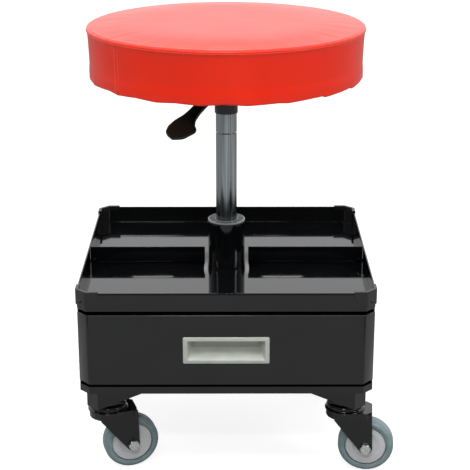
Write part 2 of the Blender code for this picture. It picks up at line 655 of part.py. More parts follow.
# ---------------------------------------------------------------- gas lift
def make_gas_lift(spindle, seat):
    """Rod, thrust bearing and clip stand in the column; the cylinder slides over the rod."""
    clip_z = COLUMN_BOTTOM - 0.0030
    bearing_bottom = COLUMN_BOTTOM + 0.0030 + GAP
    bearing_top = bearing_bottom + 0.0060
    collar_top = bearing_top + GAP + 0.0030
    turned("piston_rod", [
        (0.0, PISTON_Z + 0.0130), (0.0107, PISTON_Z + 0.0130), (0.0107, PISTON_Z), (ROD_RADIUS, PISTON_Z),
        (ROD_RADIUS, collar_top), (0.0090, collar_top), (0.0090, bearing_top + GAP),
        (ROD_RADIUS, bearing_top + GAP), (ROD_RADIUS, clip_z + 0.0013), (0.0040, clip_z + 0.0013),
        (0.0040, clip_z - GAP), (ROD_RADIUS, clip_z - GAP), (ROD_RADIUS, clip_z - 0.0030),
        (0.0, clip_z - 0.0030),
    ], CHROME, steps=20, parent=spindle)
    turned("thrust_bearing", [
        (ROD_RADIUS + GAP, bearing_top), (0.0130, bearing_top), (0.0130, bearing_bottom),
        (ROD_RADIUS + GAP, bearing_bottom),
    ], ZINC, steps=24, closed=True, parent=spindle)
    turned("retaining_clip", [
        (0.0040 + GAP, clip_z + 0.0010), (0.0085, clip_z + 0.0010), (0.0085, clip_z), (0.0040 + GAP, clip_z),
    ], ZINC, steps=20, closed=True, parent=spindle)

    button_hole = 0.0043
    groove = 0.0006
    taper_start = SOCKET_BOTTOM + 0.0010
    turned("gas_cylinder", [
        (0.0, CYLINDER_TOP - 0.0180), (button_hole, CYLINDER_TOP - 0.0180), (button_hole, CYLINDER_TOP),
        (CYLINDER_TOP_RADIUS, CYLINDER_TOP), (CYLINDER_RADIUS, taper_start),
        (CYLINDER_RADIUS, CYLINDER_GROOVE_Z + groove),
        (CYLINDER_RADIUS - groove, CYLINDER_GROOVE_Z), (CYLINDER_RADIUS, CYLINDER_GROOVE_Z - groove),
        (CYLINDER_RADIUS, CYLINDER_BOTTOM + 0.001), (CYLINDER_RADIUS - 0.001, CYLINDER_BOTTOM),
        (ROD_RADIUS + 0.0003, CYLINDER_BOTTOM), (ROD_RADIUS + 0.0003, CYLINDER_BOTTOM + 0.0080),
        (CYLINDER_BORE, CYLINDER_BOTTOM + 0.0080), (CYLINDER_BORE, 0.4400), (0.0, 0.4400),
    ], CHROME, steps=28, parent=seat)
    button = 0.0040
    turned("release_button", [
        (0.0, LEVER_PIVOT_Z - 0.0013), (button, LEVER_PIVOT_Z - 0.0013), (button, CYLINDER_TOP - 0.0110),
        (0.0, CYLINDER_TOP - 0.0110),
    ], ZINC, steps=16, parent=seat)


# ---------------------------------------------------------------- seat
def make_seat(seat):
    """Cushion with its cover turned under the board, the plywood board and the steel mount plate."""
    pocket = BOARD_RADIUS + GAP
    hem_inner = SEAT_HEM_RADIUS - SEAT_HEM_WIDTH
    board_bottom = SEAT_UNDERSIDE + COVER_THICKNESS + GAP
    board_top = board_bottom + BOARD_THICKNESS
    flat = 0.0900
    crown = SEAT_TOP - SEAT_WELT_Z
    top = [(0.0, SEAT_TOP), (flat, SEAT_TOP)]
    top += [(r, SEAT_TOP - crown * ((r - flat) / (SEAT_RADIUS - flat)) ** 2) for r in (0.130, 0.155)]
    turned("seat_cushion", top + [
        (SEAT_RADIUS - 0.0060, SEAT_WELT_Z + 0.0006), (SEAT_RADIUS - 0.0015, SEAT_WELT_Z - 0.0010),
        (SEAT_RADIUS, SEAT_WELT_Z - 0.0050), (SEAT_HEM_RADIUS, SEAT_UNDERSIDE + 0.0020),
        (SEAT_HEM_RADIUS - 0.0015, SEAT_UNDERSIDE), (hem_inner, SEAT_UNDERSIDE),
        (hem_inner, SEAT_UNDERSIDE + COVER_THICKNESS), (pocket, SEAT_UNDERSIDE + COVER_THICKNESS),
        (pocket, board_top + GAP), (0.0, board_top + GAP),
    ], RED_VINYL, steps=48, parent=seat)
    turned("seat_board", [(0.0, board_top), (BOARD_RADIUS, board_top), (BOARD_RADIUS, board_bottom),
                          (0.0, board_bottom)], PLYWOOD, steps=48, parent=seat)
    return board_bottom


def make_mechanism(seat, board_bottom):
    """Mount plate, pressed housing, tapered socket, lever pin and the four bolts into the board."""
    mechanism = add_joint("mechanism_turn", (0.0, 0.0, 0.0), MECHANISM_TURN, seat)
    plate_top = board_bottom - GAP
    plate_bottom = plate_top - MOUNT_PLATE_THICKNESS
    half = MOUNT_PLATE_HALF
    sheet = plate(cut_corner_outline(half, half, 0.0140), plate_bottom, plate_top)
    mount = add_piece("mount_plate", sheet, BLACK_STEEL, mechanism)
    hole_radius = PLATE_BOLT_RADIUS + 2 * GAP
    holes = [cylinder(hole_radius, plate_bottom - 0.01, plate_top + 0.01, 12) for _ in range(4)]
    corners = [(x * PLATE_BOLT_REACH, y * PLATE_BOLT_REACH) for x in (-1, 1) for y in (-1, 1)]
    cut(mount, *[moved(hole, Matrix.Translation((x, y, 0.0))) for hole, (x, y) in zip(holes, corners)])
    for number, (x, y) in enumerate(corners, 1):
        head_top = plate_bottom - GAP
        bolt = add_piece(f"plate_bolt_{number}",
                         moved(cylinder(PLATE_BOLT_RADIUS, head_top - 0.001, board_bottom - GAP / 2, 12),
                               Matrix.Translation((x, y, 0.0))), ZINC, mechanism)
        head = cylinder(2 * PLATE_BOLT_RADIUS, head_top - 0.0042, head_top, 6)
        join(bolt, moved(head, Matrix.Translation((x, y, 0.0))))

    top = plate_bottom - GAP
    outline = [(-HOUSING_HALF_WIDTH, HOUSING_FRONT), (HOUSING_HALF_WIDTH, HOUSING_FRONT),
               (HOUSING_HALF_WIDTH, HOUSING_BACK), (-HOUSING_HALF_WIDTH, HOUSING_BACK)]
    housing = add_piece("mechanism_housing", open_box(outline, HOUSING_FLOOR, top), BLACK_STEEL, mechanism)
    solidify(housing, HOUSING_SHEET)
    pin_place = Matrix.Translation((0.0, LEVER_PIVOT_Y, LEVER_PIVOT_Z)) @ Matrix.Rotation(math.pi / 2, 4, "Y")
    cut(housing,
        cylinder(SOCKET_RADIUS + GAP, HOUSING_FLOOR - 0.001, HOUSING_FLOOR + HOUSING_SHEET + 0.001, 32),
        box((-LEVER_SLOT_HALF, HOUSING_FRONT - 0.005, HOUSING_FLOOR + 0.0012),
            (LEVER_SLOT_HALF, HOUSING_FRONT + 0.005, HOUSING_FLOOR + 0.0270)),
        moved(cylinder(LEVER_PIN_RADIUS + GAP, -0.03, 0.03, 12), pin_place))
    collar = cylinder(SOCKET_RADIUS, SOCKET_BOTTOM, SOCKET_TOP, 32)
    socket = add_piece("lift_socket", collar, BLACK_STEEL, mechanism)
    bore = CYLINDER_RADIUS + GAP
    cut(socket, cylinder(bore, SOCKET_BOTTOM - 0.0001, CYLINDER_TOP + 0.001, 28, CYLINDER_TOP_RADIUS + GAP))
    reach = HOUSING_HALF_WIDTH + 0.0030
    add_piece("lever_pin", moved(cylinder(LEVER_PIN_RADIUS, -reach, reach, 12), pin_place), ZINC, mechanism)
    return mechanism


def make_lever(mechanism):
    """The steel arm that rocks on the pin and presses the button, and the moulded paddle on its outer end."""
    joint = add_joint("lever_lift", (0.0, LEVER_PIVOT_Y, LEVER_PIVOT_Z), 0.0, mechanism)
    root_y, root_z = PADDLE_START
    along = (-math.cos(LEVER_DROOP), -math.sin(LEVER_DROOP))
    half = 0.0022
    inner_end = 0.0040
    low = -0.0009
    tongue = 0.0260
    end = (root_y + along[0] * tongue, root_z + along[1] * tongue)
    side = [(inner_end - LEVER_PIVOT_Y, low), (inner_end - LEVER_PIVOT_Y, low + 2 * half)]
    side += arc((0.0, 0.0), 0.0060, 62.0, 165.0, 6)
    rise = (along[1] * half, -along[0] * half)
    side += [(root_y + rise[0], root_z + rise[1]), (end[0] + rise[0], end[1] + rise[1]),
             (end[0] - rise[0], end[1] - rise[1]), (root_y - rise[0], root_z - rise[1])]
    side += arc((0.0, 0.0), 0.0060, 232.0, 340.0, 6)
    pin_hole = arc((0.0, 0.0), LEVER_PIN_RADIUS + GAP, 0.0, 330.0, 12)
    add_piece("lever_arm", moved(plate(side, -0.0050, 0.0050, [pin_hole]), ALONG_X), ZINC, joint)

    # Half widths and distances along the paddle, from its root: neck, left side, tip, thumb hook
    outline = [(-0.0090, 0.000), (-0.0094, 0.020), (-0.0110, 0.033), (-0.0165, 0.045), (-0.0180, 0.057),
               (-0.0140, 0.069), (-0.0040, 0.078), (0.0100, 0.0805), (0.0190, 0.0755), (0.0235, 0.066),
               (0.0272, 0.0600), (0.0255, 0.0535), (0.0180, 0.0475), (0.0120, 0.037), (0.0090, 0.022),
               (0.0085, 0.000)]
    paddle = plate([(x, -y) for x, y in outline], -PADDLE_THICKNESS / 2, PADDLE_THICKNESS / 2)
    socket = box((-0.0053, -tongue - 0.0006, -half - GAP), (0.0053, 0.001, half + GAP))
    tilt = Matrix.Translation((0.0, root_y, root_z)) @ Matrix.Rotation(LEVER_DROOP, 4, "X")
    handle = add_piece("lever_handle", moved(paddle, tilt), BLACK_PLASTIC, joint)
    bevel(handle, 0.0016, 2, 50.0)
    cut(handle, moved(socket, tilt))


# ---------------------------------------------------------------- assembly
make_tray()
make_corner_caps()
make_cabinet()
make_column()
make_drawer()
for corner_name, (sign_x, sign_y, heading) in CASTERS.items():
    make_bracket(corner_name, sign_x, sign_y)
    make_caster(corner_name, sign_x, sign_y, heading)

spin = add_joint("seat_spin", (0.0, 0.0, 0.0))
lift = add_joint("seat_lift", (0.0, 0.0, 0.0), 0.0, spin)
make_gas_lift(spin, lift)
under_board = make_seat(lift)
make_lever(make_mechanism(lift, under_board))
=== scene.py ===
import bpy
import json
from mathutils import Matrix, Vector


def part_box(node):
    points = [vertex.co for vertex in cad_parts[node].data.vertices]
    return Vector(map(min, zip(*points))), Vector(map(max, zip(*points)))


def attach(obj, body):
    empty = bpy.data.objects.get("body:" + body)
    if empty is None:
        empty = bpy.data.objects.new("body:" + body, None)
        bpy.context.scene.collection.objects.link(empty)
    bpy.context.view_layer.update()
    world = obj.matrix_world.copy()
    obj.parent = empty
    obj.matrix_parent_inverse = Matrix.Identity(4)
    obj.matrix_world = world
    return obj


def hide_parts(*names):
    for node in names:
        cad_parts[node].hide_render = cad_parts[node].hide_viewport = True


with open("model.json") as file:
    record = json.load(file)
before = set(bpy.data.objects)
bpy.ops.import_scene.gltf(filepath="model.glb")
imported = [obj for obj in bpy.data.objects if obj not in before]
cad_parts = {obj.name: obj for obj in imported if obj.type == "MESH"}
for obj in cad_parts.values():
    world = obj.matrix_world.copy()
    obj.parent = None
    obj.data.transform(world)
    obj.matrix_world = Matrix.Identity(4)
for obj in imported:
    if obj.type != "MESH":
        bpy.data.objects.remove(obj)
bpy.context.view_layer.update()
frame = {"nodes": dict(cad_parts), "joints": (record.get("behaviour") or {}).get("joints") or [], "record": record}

# A rolling workshop seat: red vinyl cushion on a gas lift, over a black tray and drawer on four casters.
# Metres, Z up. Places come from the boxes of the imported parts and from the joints' axes.

import json
import math

import bmesh
import bpy
import numpy as np
from mathutils import Vector

mm = 0.001
scene = bpy.context.scene
corners = {"front_left": (-1, -1), "front_right": (1, -1), "rear_left": (-1, 1), "rear_right": (1, 1)}
joints = {joint["name"]: joint for joint in frame["joints"]}


# A shape is a grid of points, rows x columns x 3. Quads join neighbours,
# and a wrapped direction joins its last line to its first.
def gridFaces(rows, columns, wrapRows, wrapColumns):
    down = np.arange(rows if wrapRows else rows - 1)
    across = np.arange(columns if wrapColumns else columns - 1)
    i, j = np.meshgrid(down, across, indexing="ij")
    below = (i + 1) % rows
    beside = (j + 1) % columns
    quads = np.stack([i * columns + j, i * columns + beside,
                      below * columns + beside, below * columns + j], -1)
    u = np.stack([j, j + 1, j + 1, j], -1) / columns
    v = np.stack([i, i, i + 1, i + 1], -1)
    return quads.reshape(-1, 4), np.stack([u, v], -1).reshape(-1, 2)


# One mesh from several grids. The UV map runs once round in u, and in v by the distance down the rows.
def meshFromGrids(name, grids):
    points, quads, uvs, offset = [], [], [], 0
    for grid, wrapRows, wrapColumns in grids:
        rows, columns, _ = grid.shape
        faces, uv = gridFaces(rows, columns, wrapRows, wrapColumns)
        steps = np.linalg.norm(np.diff(grid, axis=0, append=grid[:1]), axis=2).mean(axis=1)
        length = np.concatenate([[0.0], np.cumsum(steps)])
        uv[:, 1] = length[uv[:, 1].astype(int)]
        points.append(grid.reshape(-1, 3))
        quads.append(faces + offset)
        uvs.append(uv)
        offset += rows * columns
    mesh = bpy.data.meshes.new(name)
    mesh.from_pydata(np.concatenate(points).tolist(), [], np.concatenate(quads).tolist())
    layer = mesh.uv_layers.new(name="along")
    layer.data.foreach_set("uv", np.concatenate(uvs).ravel())
    return mesh


# Closes poles, flat ends and seams, and turns the shell outwards where its volume comes out negative.
def tidyMesh(mesh, closeEnds=False, sharpAngle=35):
    work = bmesh.new()
    work.from_mesh(mesh)
    bmesh.ops.remove_doubles(work, verts=work.verts, dist=1e-6)
    bmesh.ops.dissolve_degenerate(work, edges=work.edges, dist=1e-7)
    if closeEnds:
        bmesh.ops.holes_fill(work, edges=[edge for edge in work.edges if edge.is_boundary], sides=0)
        bmesh.ops.recalc_face_normals(work, faces=work.faces)
    elif work.calc_volume(signed=True) < 0:
        bmesh.ops.reverse_faces(work, faces=work.faces)
    work.to_mesh(mesh)
    work.free()
    mesh.shade_smooth()
    mesh.set_sharp_from_angle(angle=math.radians(sharpAngle))


# Links a mesh as a finished piece: its body, its material and slot, and the parts that it stands for.
def addPiece(name, mesh, material, body, replaced=()):
    piece = bpy.data.objects.new(name, mesh)
    mesh.materials.clear()
    mesh.materials.append(material)
    scene.collection.objects.link(piece)
    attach(piece, body)
    if replaced:
        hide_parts(*replaced)
    return piece


def addShape(name, grids, material, body, replaced=(), closeEnds=False, sharpAngle=35):
    mesh = meshFromGrids(name, grids)
    tidyMesh(mesh, closeEnds, sharpAngle)
    return addPiece(name, mesh, material, body, replaced)


# Rounds the edges of a piece that are sharper than an angle in degrees.
def addBevel(piece, name, width, segments, angle):
    bevel = piece.modifiers.new(name, "BEVEL")
    bevel.width = width
    bevel.segments = segments
    bevel.limit_method = "ANGLE"
    bevel.angle_limit = math.radians(angle)


# A folded sheet: bevels the fold lines of an open surface, then gives it a wall on its inner side.
def foldSheet(piece, thickness, foldRadius, edge=0.3 * mm):
    addBevel(piece, "folds", foldRadius, 3, 28)
    wall = piece.modifiers.new("wall", "SOLIDIFY")
    wall.thickness = thickness
    wall.offset = -1.0
    wall.use_even_offset = True
    addBevel(piece, "edges", edge, 2, 50)


# A profile of (radius, height) points carried round the Z axis.
def lathe(profile, steps=96):
    angle = np.arange(steps) * math.tau / steps
    profile = np.asarray(profile, float)
    radius, height = profile[:, :1], profile[:, 1:]
    return np.stack([radius * np.cos(angle), radius * np.sin(angle), height + 0 * angle], -1)


# Rounds the corners of a line: each (x, y, radius) becomes an arc between its two tangent points.
def roundCorners(points, closed, steps=5):
    points = [np.array(point, float) for point in points]
    line = []
    for k, point in enumerate(points):
        last = points[k - 1]
        following = points[(k + 1) % len(points)]
        if point[2] <= 0 or (not closed and k in (0, len(points) - 1)):
            line.append(point[:2])
            continue
        toLast = (last - point)[:2] / np.linalg.norm((last - point)[:2])
        toNext = (following - point)[:2] / np.linalg.norm((following - point)[:2])
        half = math.acos(np.clip(toLast @ toNext, -1, 1)) / 2
        centre = point[:2] + (toLast + toNext) / np.linalg.norm(toLast + toNext) * point[2] / math.sin(half)
        start = point[:2] + toLast * point[2] / math.tan(half) - centre
        end = point[:2] + toNext * point[2] / math.tan(half) - centre
        sweep = math.atan2(start[0] * end[1] - start[1] * end[0], start @ end)
        turn = np.linspace(0, sweep, steps + 1)
        line.extend(np.stack([centre[0] + start[0] * np.cos(turn) - start[1] * np.sin(turn),
                              centre[1] + start[0] * np.sin(turn) + start[1] * np.cos(turn)], -1))
    return np.array(line)


# Outward mitre of an open line, so that line + mitre * distance is the parallel line at that distance.
def mitres(line):
    edge = np.diff(line, axis=0)
    edge /= np.linalg.norm(edge, axis=1, keepdims=True)
    normal = np.stack([edge[:, 1], -edge[:, 0]], -1)
    before = np.concatenate([normal[:1], normal])
    after = np.concatenate([normal, normal[-1:]])
    return (before + after) / (1 + (before * after).sum(1, keepdims=True))


# Turns a grid drawn flat (X, Y, Z) so that it stands and faces -Y: drawn Y goes up, drawn Z comes forward.
def stand(grid):
    return np.stack([grid[..., 0], -grid[..., 2], grid[..., 1]], -1)


# Copies one grid to many places. Each place is an origin and three axes.
def repeatGrid(grid, origins, axes):
    copies = origins[:, None, None] + np.einsum("rci,nij->nrcj", grid, axes)
    return list(copies)


def placeAlong(origin, axis, across=(0, 0, 1)):
    z = np.array(axis, float) / np.linalg.norm(axis)
    x = np.array(across, float) - z * (np.array(across) @ z)
    x /= np.linalg.norm(x)
    return lambda grid: np.asarray(origin) + grid @ np.stack([x, np.cross(z, x), z])


# Turns an sRGB hex colour to linear.
def hexColour(code):
    channel = np.array([int(code[i:i + 2], 16) for i in (1, 3, 5)]) / 255
    linear = np.where(channel <= 0.04045, channel / 12.92, ((channel + 0.055) / 1.055) ** 2.4)
    return (*linear.tolist(), 1.0)


# Adds a node with its settings (by socket or attribute) and its links (a node gives its first output).
def addNode(tree, kind, settings=None, links=None):
    node = tree.nodes.new(kind)
    for key, value in (settings or {}).items():
        if isinstance(key, int) or key in node.inputs:
            node.inputs[key].default_value = value
        else:
            setattr(node, key, value)
    for key, source in (links or {}).items():
        output = source.outputs[0] if isinstance(source, bpy.types.Node) else source
        tree.links.new(output, node.inputs[key])
    return node


# Starts a material: constants sit on the shader's own sockets.
def startMaterial(name, **settings):
    material = bpy.data.materials.new(name)
    material.use_nodes = True
    tree = material.node_tree
    shader = tree.nodes["Principled BSDF"]
    for key, value in settings.items():
        shader.inputs[key.replace("_", " ")].default_value = value
    return material, tree, shader


# Noise of one real size in millimetres, on Object coordinates or stretched along an axis.
def noiseAt(tree, size, stretch=(1, 1, 1), detail=3.0, source="Object"):
    where = addNode(tree, "ShaderNodeTexCoord")
    mapping = addNode(tree, "ShaderNodeMapping", {"Scale": stretch}, {"Vector": where.outputs[source]})
    return addNode(tree, "ShaderNodeTexNoise", {"Scale": 1 / (size * mm), "Detail": detail},
                   {"Vector": mapping})


# Colour that drifts between two shades.
def shadeBy(tree, shader, drift, shades, spread=(0.35, 0.65)):
    ramp = addNode(tree, "ShaderNodeValToRGB", links={"Fac": drift})
    for stop, place, shade in zip(ramp.color_ramp.elements, spread, shades):
        stop.position = place
        stop.color = hexColour(shade)
    tree.links.new(ramp.outputs["Color"], shader.inputs["Base Color"])


# Roughness between two values, over the middle of the noise's range.
def roughBy(tree, shader, drift, low, high):
    limits = {"From Min": 0.3, "From Max": 0.7, "To Min": low, "To Max": high}
    span = addNode(tree, "ShaderNodeMapRange", limits, {"Value": drift})
    tree.links.new(span.outputs["Result"], shader.inputs["Roughness"])


# Layers of bump, each of a height in millimetres.
def bumpBy(tree, shader, *layers):
    normal = None
    for height, source in layers:
        links = {"Height": source}
        if normal:
            links["Normal"] = normal
        normal = addNode(tree, "ShaderNodeBump", {"Strength": 1.0, "Distance": height * mm}, links)
    tree.links.new(normal.outputs["Normal"], shader.inputs["Normal"])


# A finish whose colour, roughness and bumps each follow a noise: a size in millimetres and its options.
def makeFinish(name, shades, drift, rough=(), bumps=(), **settings):
    material, tree, shader = startMaterial(name, **settings)
    shadeBy(tree, shader, noiseAt(tree, **drift), shades)
    if rough:
        low, high, grit = rough
        roughBy(tree, shader, noiseAt(tree, **grit), low, high)
    if bumps:
        bumpBy(tree, shader, *[(height, noiseAt(tree, **wave)) for height, wave in bumps])
    return material


# Calendered PVC upholstery vinyl: a wet red gloss that whitens at low angles over a fine pressed grain.
vinyl = makeFinish(
    "calendered_red_vinyl", ("#D42104", "#DA2405"), {"size": 70, "detail": 1.0},
    (0.30, 0.32, {"size": 40, "detail": 1.0}),
    [(0.004, {"size": 1.6}), (0.12, {"size": 30, "detail": 1.0})], IOR=1.38)
# Bonded polyester thread: satin, painted a shade lighter than the vinyl that it sinks into, as a highlight on the
# stitches.
thread = makeFinish(
    "red_polyester_thread", ("#D93A22", "#F0674E"), {"size": 0.4}, Roughness=0.55, Sheen_Weight=0.3)
# Gloss powder coat on pressed steel: near black, mirror-like at low angles, with a faint orange peel.
powderCoat = makeFinish(
    "gloss_black_powder_coat", ("#050608", "#090A0C"), {"size": 60}, (0.045, 0.08, {"size": 25}),
    [(0.0012, {"size": 2.4, "detail": 1.0}), (0.03, {"size": 55, "detail": 0.0})], IOR=1.47)
# Spark-eroded polypropylene mouldings: charcoal with a soft broken sheen.
blackPlastic = makeFinish(
    "eroded_black_polypropylene", ("#08090A", "#0E0F10"), {"size": 12}, (0.30, 0.42, {"size": 0.9}),
    [(0.02, {"size": 0.9})], IOR=1.49)
# Hard chrome on a ground tube: cool grey, drawn lines run up the tube and stretch its highlights.
drawnLines = {"size": 1.2, "stretch": (1, 1, 0.006)}
chrome = makeFinish(
    "ground_chrome", ("#6C7377", "#ABB1B4"), drawnLines,
    (0.14, 0.26, {"size": 8, "stretch": (1, 1, 0.05)}), [(0.006, drawnLines)], Metallic=1.0)
# Bright zinc plate: silvery with a mottled passivated bloom.
zinc = makeFinish(
    "bright_zinc_plate", ("#B4B7B5", "#DADCDA"), {"size": 2.5}, (0.22, 0.38, {"size": 1.5}), Metallic=1.0)
# Moulded ABS of the pull: warm light grey, satin, with the tool's fine matt texture.
pullPlastic = makeFinish(
    "satin_grey_abs", ("#A0A49B", "#AAAEA6"), {"size": 20}, (0.36, 0.46, {"size": 1.0}),
    [(0.01, {"size": 0.8})], IOR=1.54)
# Polished grey nylon of the guide bush: its flat top whitens at low angles.
nylon = makeFinish(
    "polished_grey_nylon", ("#85888A", "#96999A"), {"size": 6}, (0.10, 0.18, {"size": 1.5}), IOR=1.6)
# Moulded polypropylene wheel centre: mid grey, with the faint rings of a turned tool face.
turnedRings = {"size": 900, "stretch": (0.0, 900 / 1.1, 0.0), "source": "UV"}
hubPlastic = makeFinish(
    "ringed_grey_polypropylene", ("#ACAEB0", "#C4C6C7"), turnedRings, (0.30, 0.42, turnedRings),
    [(0.02, turnedRings)], IOR=1.49)
# Thermoplastic rubber tread: blue grey, matt, slightly dusty where it rolls.
rubber = makeFinish(
    "blue_grey_thermoplastic_rubber", ("#687A7E", "#738589"), {"size": 9}, (0.42, 0.58, {"size": 3}),
    [(0.02, {"size": 0.9})], IOR=1.5)
# Rotary-cut poplar plywood: pale brown flame grain drawn out along the sheet.
fibre = {"size": 3.5, "stretch": (0.06, 1, 1), "detail": 6.0}
plywood = makeFinish(
    "poplar_plywood", ("#A57C4C", "#CDA873"), fibre, (0.55, 0.75, fibre), [(0.06, fibre)], IOR=1.45)


# Hot-dip galvanised strip: dull grey spangle a few millimetres across.
def galvanisedStrip():
    material, tree, shader = startMaterial("galvanised_strip", Metallic=1.0)
    spangle = addNode(tree, "ShaderNodeTexVoronoi", {"Scale": 1 / (5 * mm)},
                      {"Vector": addNode(tree, "ShaderNodeTexCoord").outputs["Object"]})
    shadeBy(tree, shader, spangle.outputs["Color"], ("#8C9192", "#B3B7B8"), (0.2, 0.8))
    roughBy(tree, shader, spangle.outputs["Color"], 0.32, 0.5)
    return material


# The parts that stay take the material of their slot.
slotMaterials = {
    "seat_vinyl": vinyl, "seat_board": plywood, "black_coat": powderCoat, "black_plastic": blackPlastic,
    "chrome": chrome, "zinc": zinc, "handle_plastic": pullPlastic, "bush_plastic": nylon,
    "galvanised": galvanisedStrip(), "hub_plastic": hubPlastic, "tyre_rubber": rubber,
}
for entry in frame["record"]["subparts"]:
    part = frame["nodes"][entry["node"]]
    if not part.material_slots:
        part.data.materials.append(None)
    for materialSlot in part.material_slots:
        materialSlot.material = slotMaterials[entry["material_slot"]]
print("materials ready")

# Seat cushion: lengths are along its profile. A ridge is (half width, height, place).
cushion = {
    "voxel": 5 * mm,          # cell of the simulated pad
    "shrink": 3.0 * mm,       # the pad starts smaller by this much, then swells
    "pressure": 4.0,
    "frames": 20,
    "cap": 5.0 * mm,          # the furthest that a point of the pad may move
    "slack": 1.1 * mm,        # how far the cover follows it, in or out
    "pinned": 14 * mm,        # height above the underside that the staples hold still
    "columns": 720,
    "flat": 0.5,              # share of the radius that the foam keeps flat on top
    "crownFall": 4.0 * mm,    # from the flat middle down to the shoulder
    "shoulderDrop": 4.4 * mm,
    "edgeRadius": 4.6 * mm,
    "bandLean": 2.5 * mm,     # the band comes in by this much at its foot
    "freeFrom": 8 * mm,       # the cover is held below this height and free above the next
    "freeOver": 12 * mm,
    "smoothing": 14,
    "seamDrop": 6.5 * mm,     # the top seam lies this far below the crown
    "fold": (1.3 * mm, 0.5 * mm),
    "grooves": ((1.2 * mm, -0.3 * mm, -2.8 * mm), (1.4 * mm, -0.2 * mm, 2.6 * mm)),
    "stitchPull": 0.2,
    "pucker": (10 * mm, 0.14 * mm),
    "puckerWaves": ((31, 0.4), (47, 2.1), (73, 4.4)),
    "lap": (2.4 * mm, 0.45 * mm),
    "lapGroove": (2.0 * mm, -0.2 * mm, 4.5 * mm),
    "lapStart": 4 * mm,
    "hemWidth": 18 * mm,
    "hemReach": 10 * mm,      # how far up the band the tucks pull
    "hemRound": 4 * mm,
    "hemEdge": ((0.3 * mm, 0.5 * mm), (1.0 * mm, 0.9 * mm)),
    "ripple": 0.35 * mm,
    "cover": 1.5 * mm,
    "gap": 0.3 * mm,
    "tucks": 19,              # pleats where the hem is pulled under the board
    "tuckDepth": 2.3 * mm,
    "tuckStart": 0.216,
    "tuckIn": 0.35 * mm,
    "crease": (0.16, 0.25 * mm),
    "bandSeam": math.radians(-138.5),
}
seatLow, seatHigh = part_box("seat_cushion")
boardLow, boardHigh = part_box("seat_board")
seatRadius = seatHigh.x
hemRadius = seatRadius - cushion["bandLean"]
boardRadius = boardHigh.x


# Height and radius down the pad: a flat middle, a parabola to the edge, a round shoulder and a straight band.
def padProfile(inset):
    radius = seatRadius - inset
    top = seatHigh.z - inset
    flat = cushion["flat"]
    share = np.linspace(flat, 0.95, 14)
    crown = np.stack([radius * share, top - cushion["crownFall"] * ((share - flat) / (1 - flat)) ** 2], -1)
    shoulder = roundCorners([(*crown[-1], 0), (radius, top - cushion["shoulderDrop"], cushion["edgeRadius"]),
                             (hemRadius - inset, seatLow.z, 0)], False)
    return crown, shoulder


def simulatePad():
    inset = cushion["shrink"]
    crown, shoulder = padProfile(inset)
    profile = np.concatenate([[(0, crown[0, 1])], crown, shoulder[1:], [(0, seatLow.z)]])
    mesh = meshFromGrids("pad", [(lathe(profile, 120), False, True)])
    tidyMesh(mesh)
    pad = bpy.data.objects.new("pad", mesh)
    scene.collection.objects.link(pad)
    bpy.context.view_layer.objects.active = pad
    remesh = pad.modifiers.new("cells", "REMESH")
    remesh.mode = "VOXEL"
    remesh.voxel_size = cushion["voxel"]
    applyModifiers(pad)
    start = readPoints(pad.data)
    held = pad.vertex_groups.new(name="held")
    held.add(np.flatnonzero(start[:, 2] < seatLow.z + cushion["pinned"]).tolist(), 1.0, "REPLACE")
    cloth = pad.modifiers.new("cloth", "CLOTH")
    cloth.settings.quality = 5
    cloth.settings.mass = 0.4
    cloth.settings.tension_stiffness = 25
    cloth.settings.compression_stiffness = 25
    cloth.settings.bending_stiffness = 2.0
    cloth.settings.use_pressure = True
    cloth.settings.uniform_pressure_force = cushion["pressure"]
    cloth.settings.effector_weights.gravity = 0
    cloth.settings.vertex_group_mass = "held"
    cloth.point_cache.frame_start = 1
    cloth.point_cache.frame_end = cushion["frames"]
    for step in range(1, cushion["frames"] + 1):
        scene.frame_set(step)
    applyModifiers(pad)
    moved = readPoints(pad.data) - start
    reach = np.linalg.norm(moved, axis=1, keepdims=True)
    print("pad swelled by up to", round(float(reach.max()) / mm, 2), "mm")
    writePoints(pad.data, start + moved * np.minimum(1, cushion["cap"] / np.maximum(reach, 1e-9)))
    scene.frame_set(1)
    return pad


def readPoints(mesh):
    flat = np.empty(len(mesh.vertices) * 3, np.float32)
    mesh.vertices.foreach_get("co", flat)
    return flat.reshape(-1, 3).astype(float)


def writePoints(mesh, points):
    mesh.vertices.foreach_set("co", points.astype(np.float32).ravel())
    mesh.update()


# Makes the evaluated shape the piece's own mesh, with no modifier left on it.
def applyModifiers(piece):
    evaluated = piece.evaluated_get(bpy.context.evaluated_depsgraph_get())
    mesh = bpy.data.meshes.new_from_object(evaluated)
    piece.modifiers.clear()
    old = piece.data
    piece.data = mesh
    bpy.data.meshes.remove(old)


# A bell-shaped bump of a given half width and height round a place.
def ridge(distance, width, height=1.0, place=0.0):
    return height * np.exp(-((distance - place) / width) ** 2)


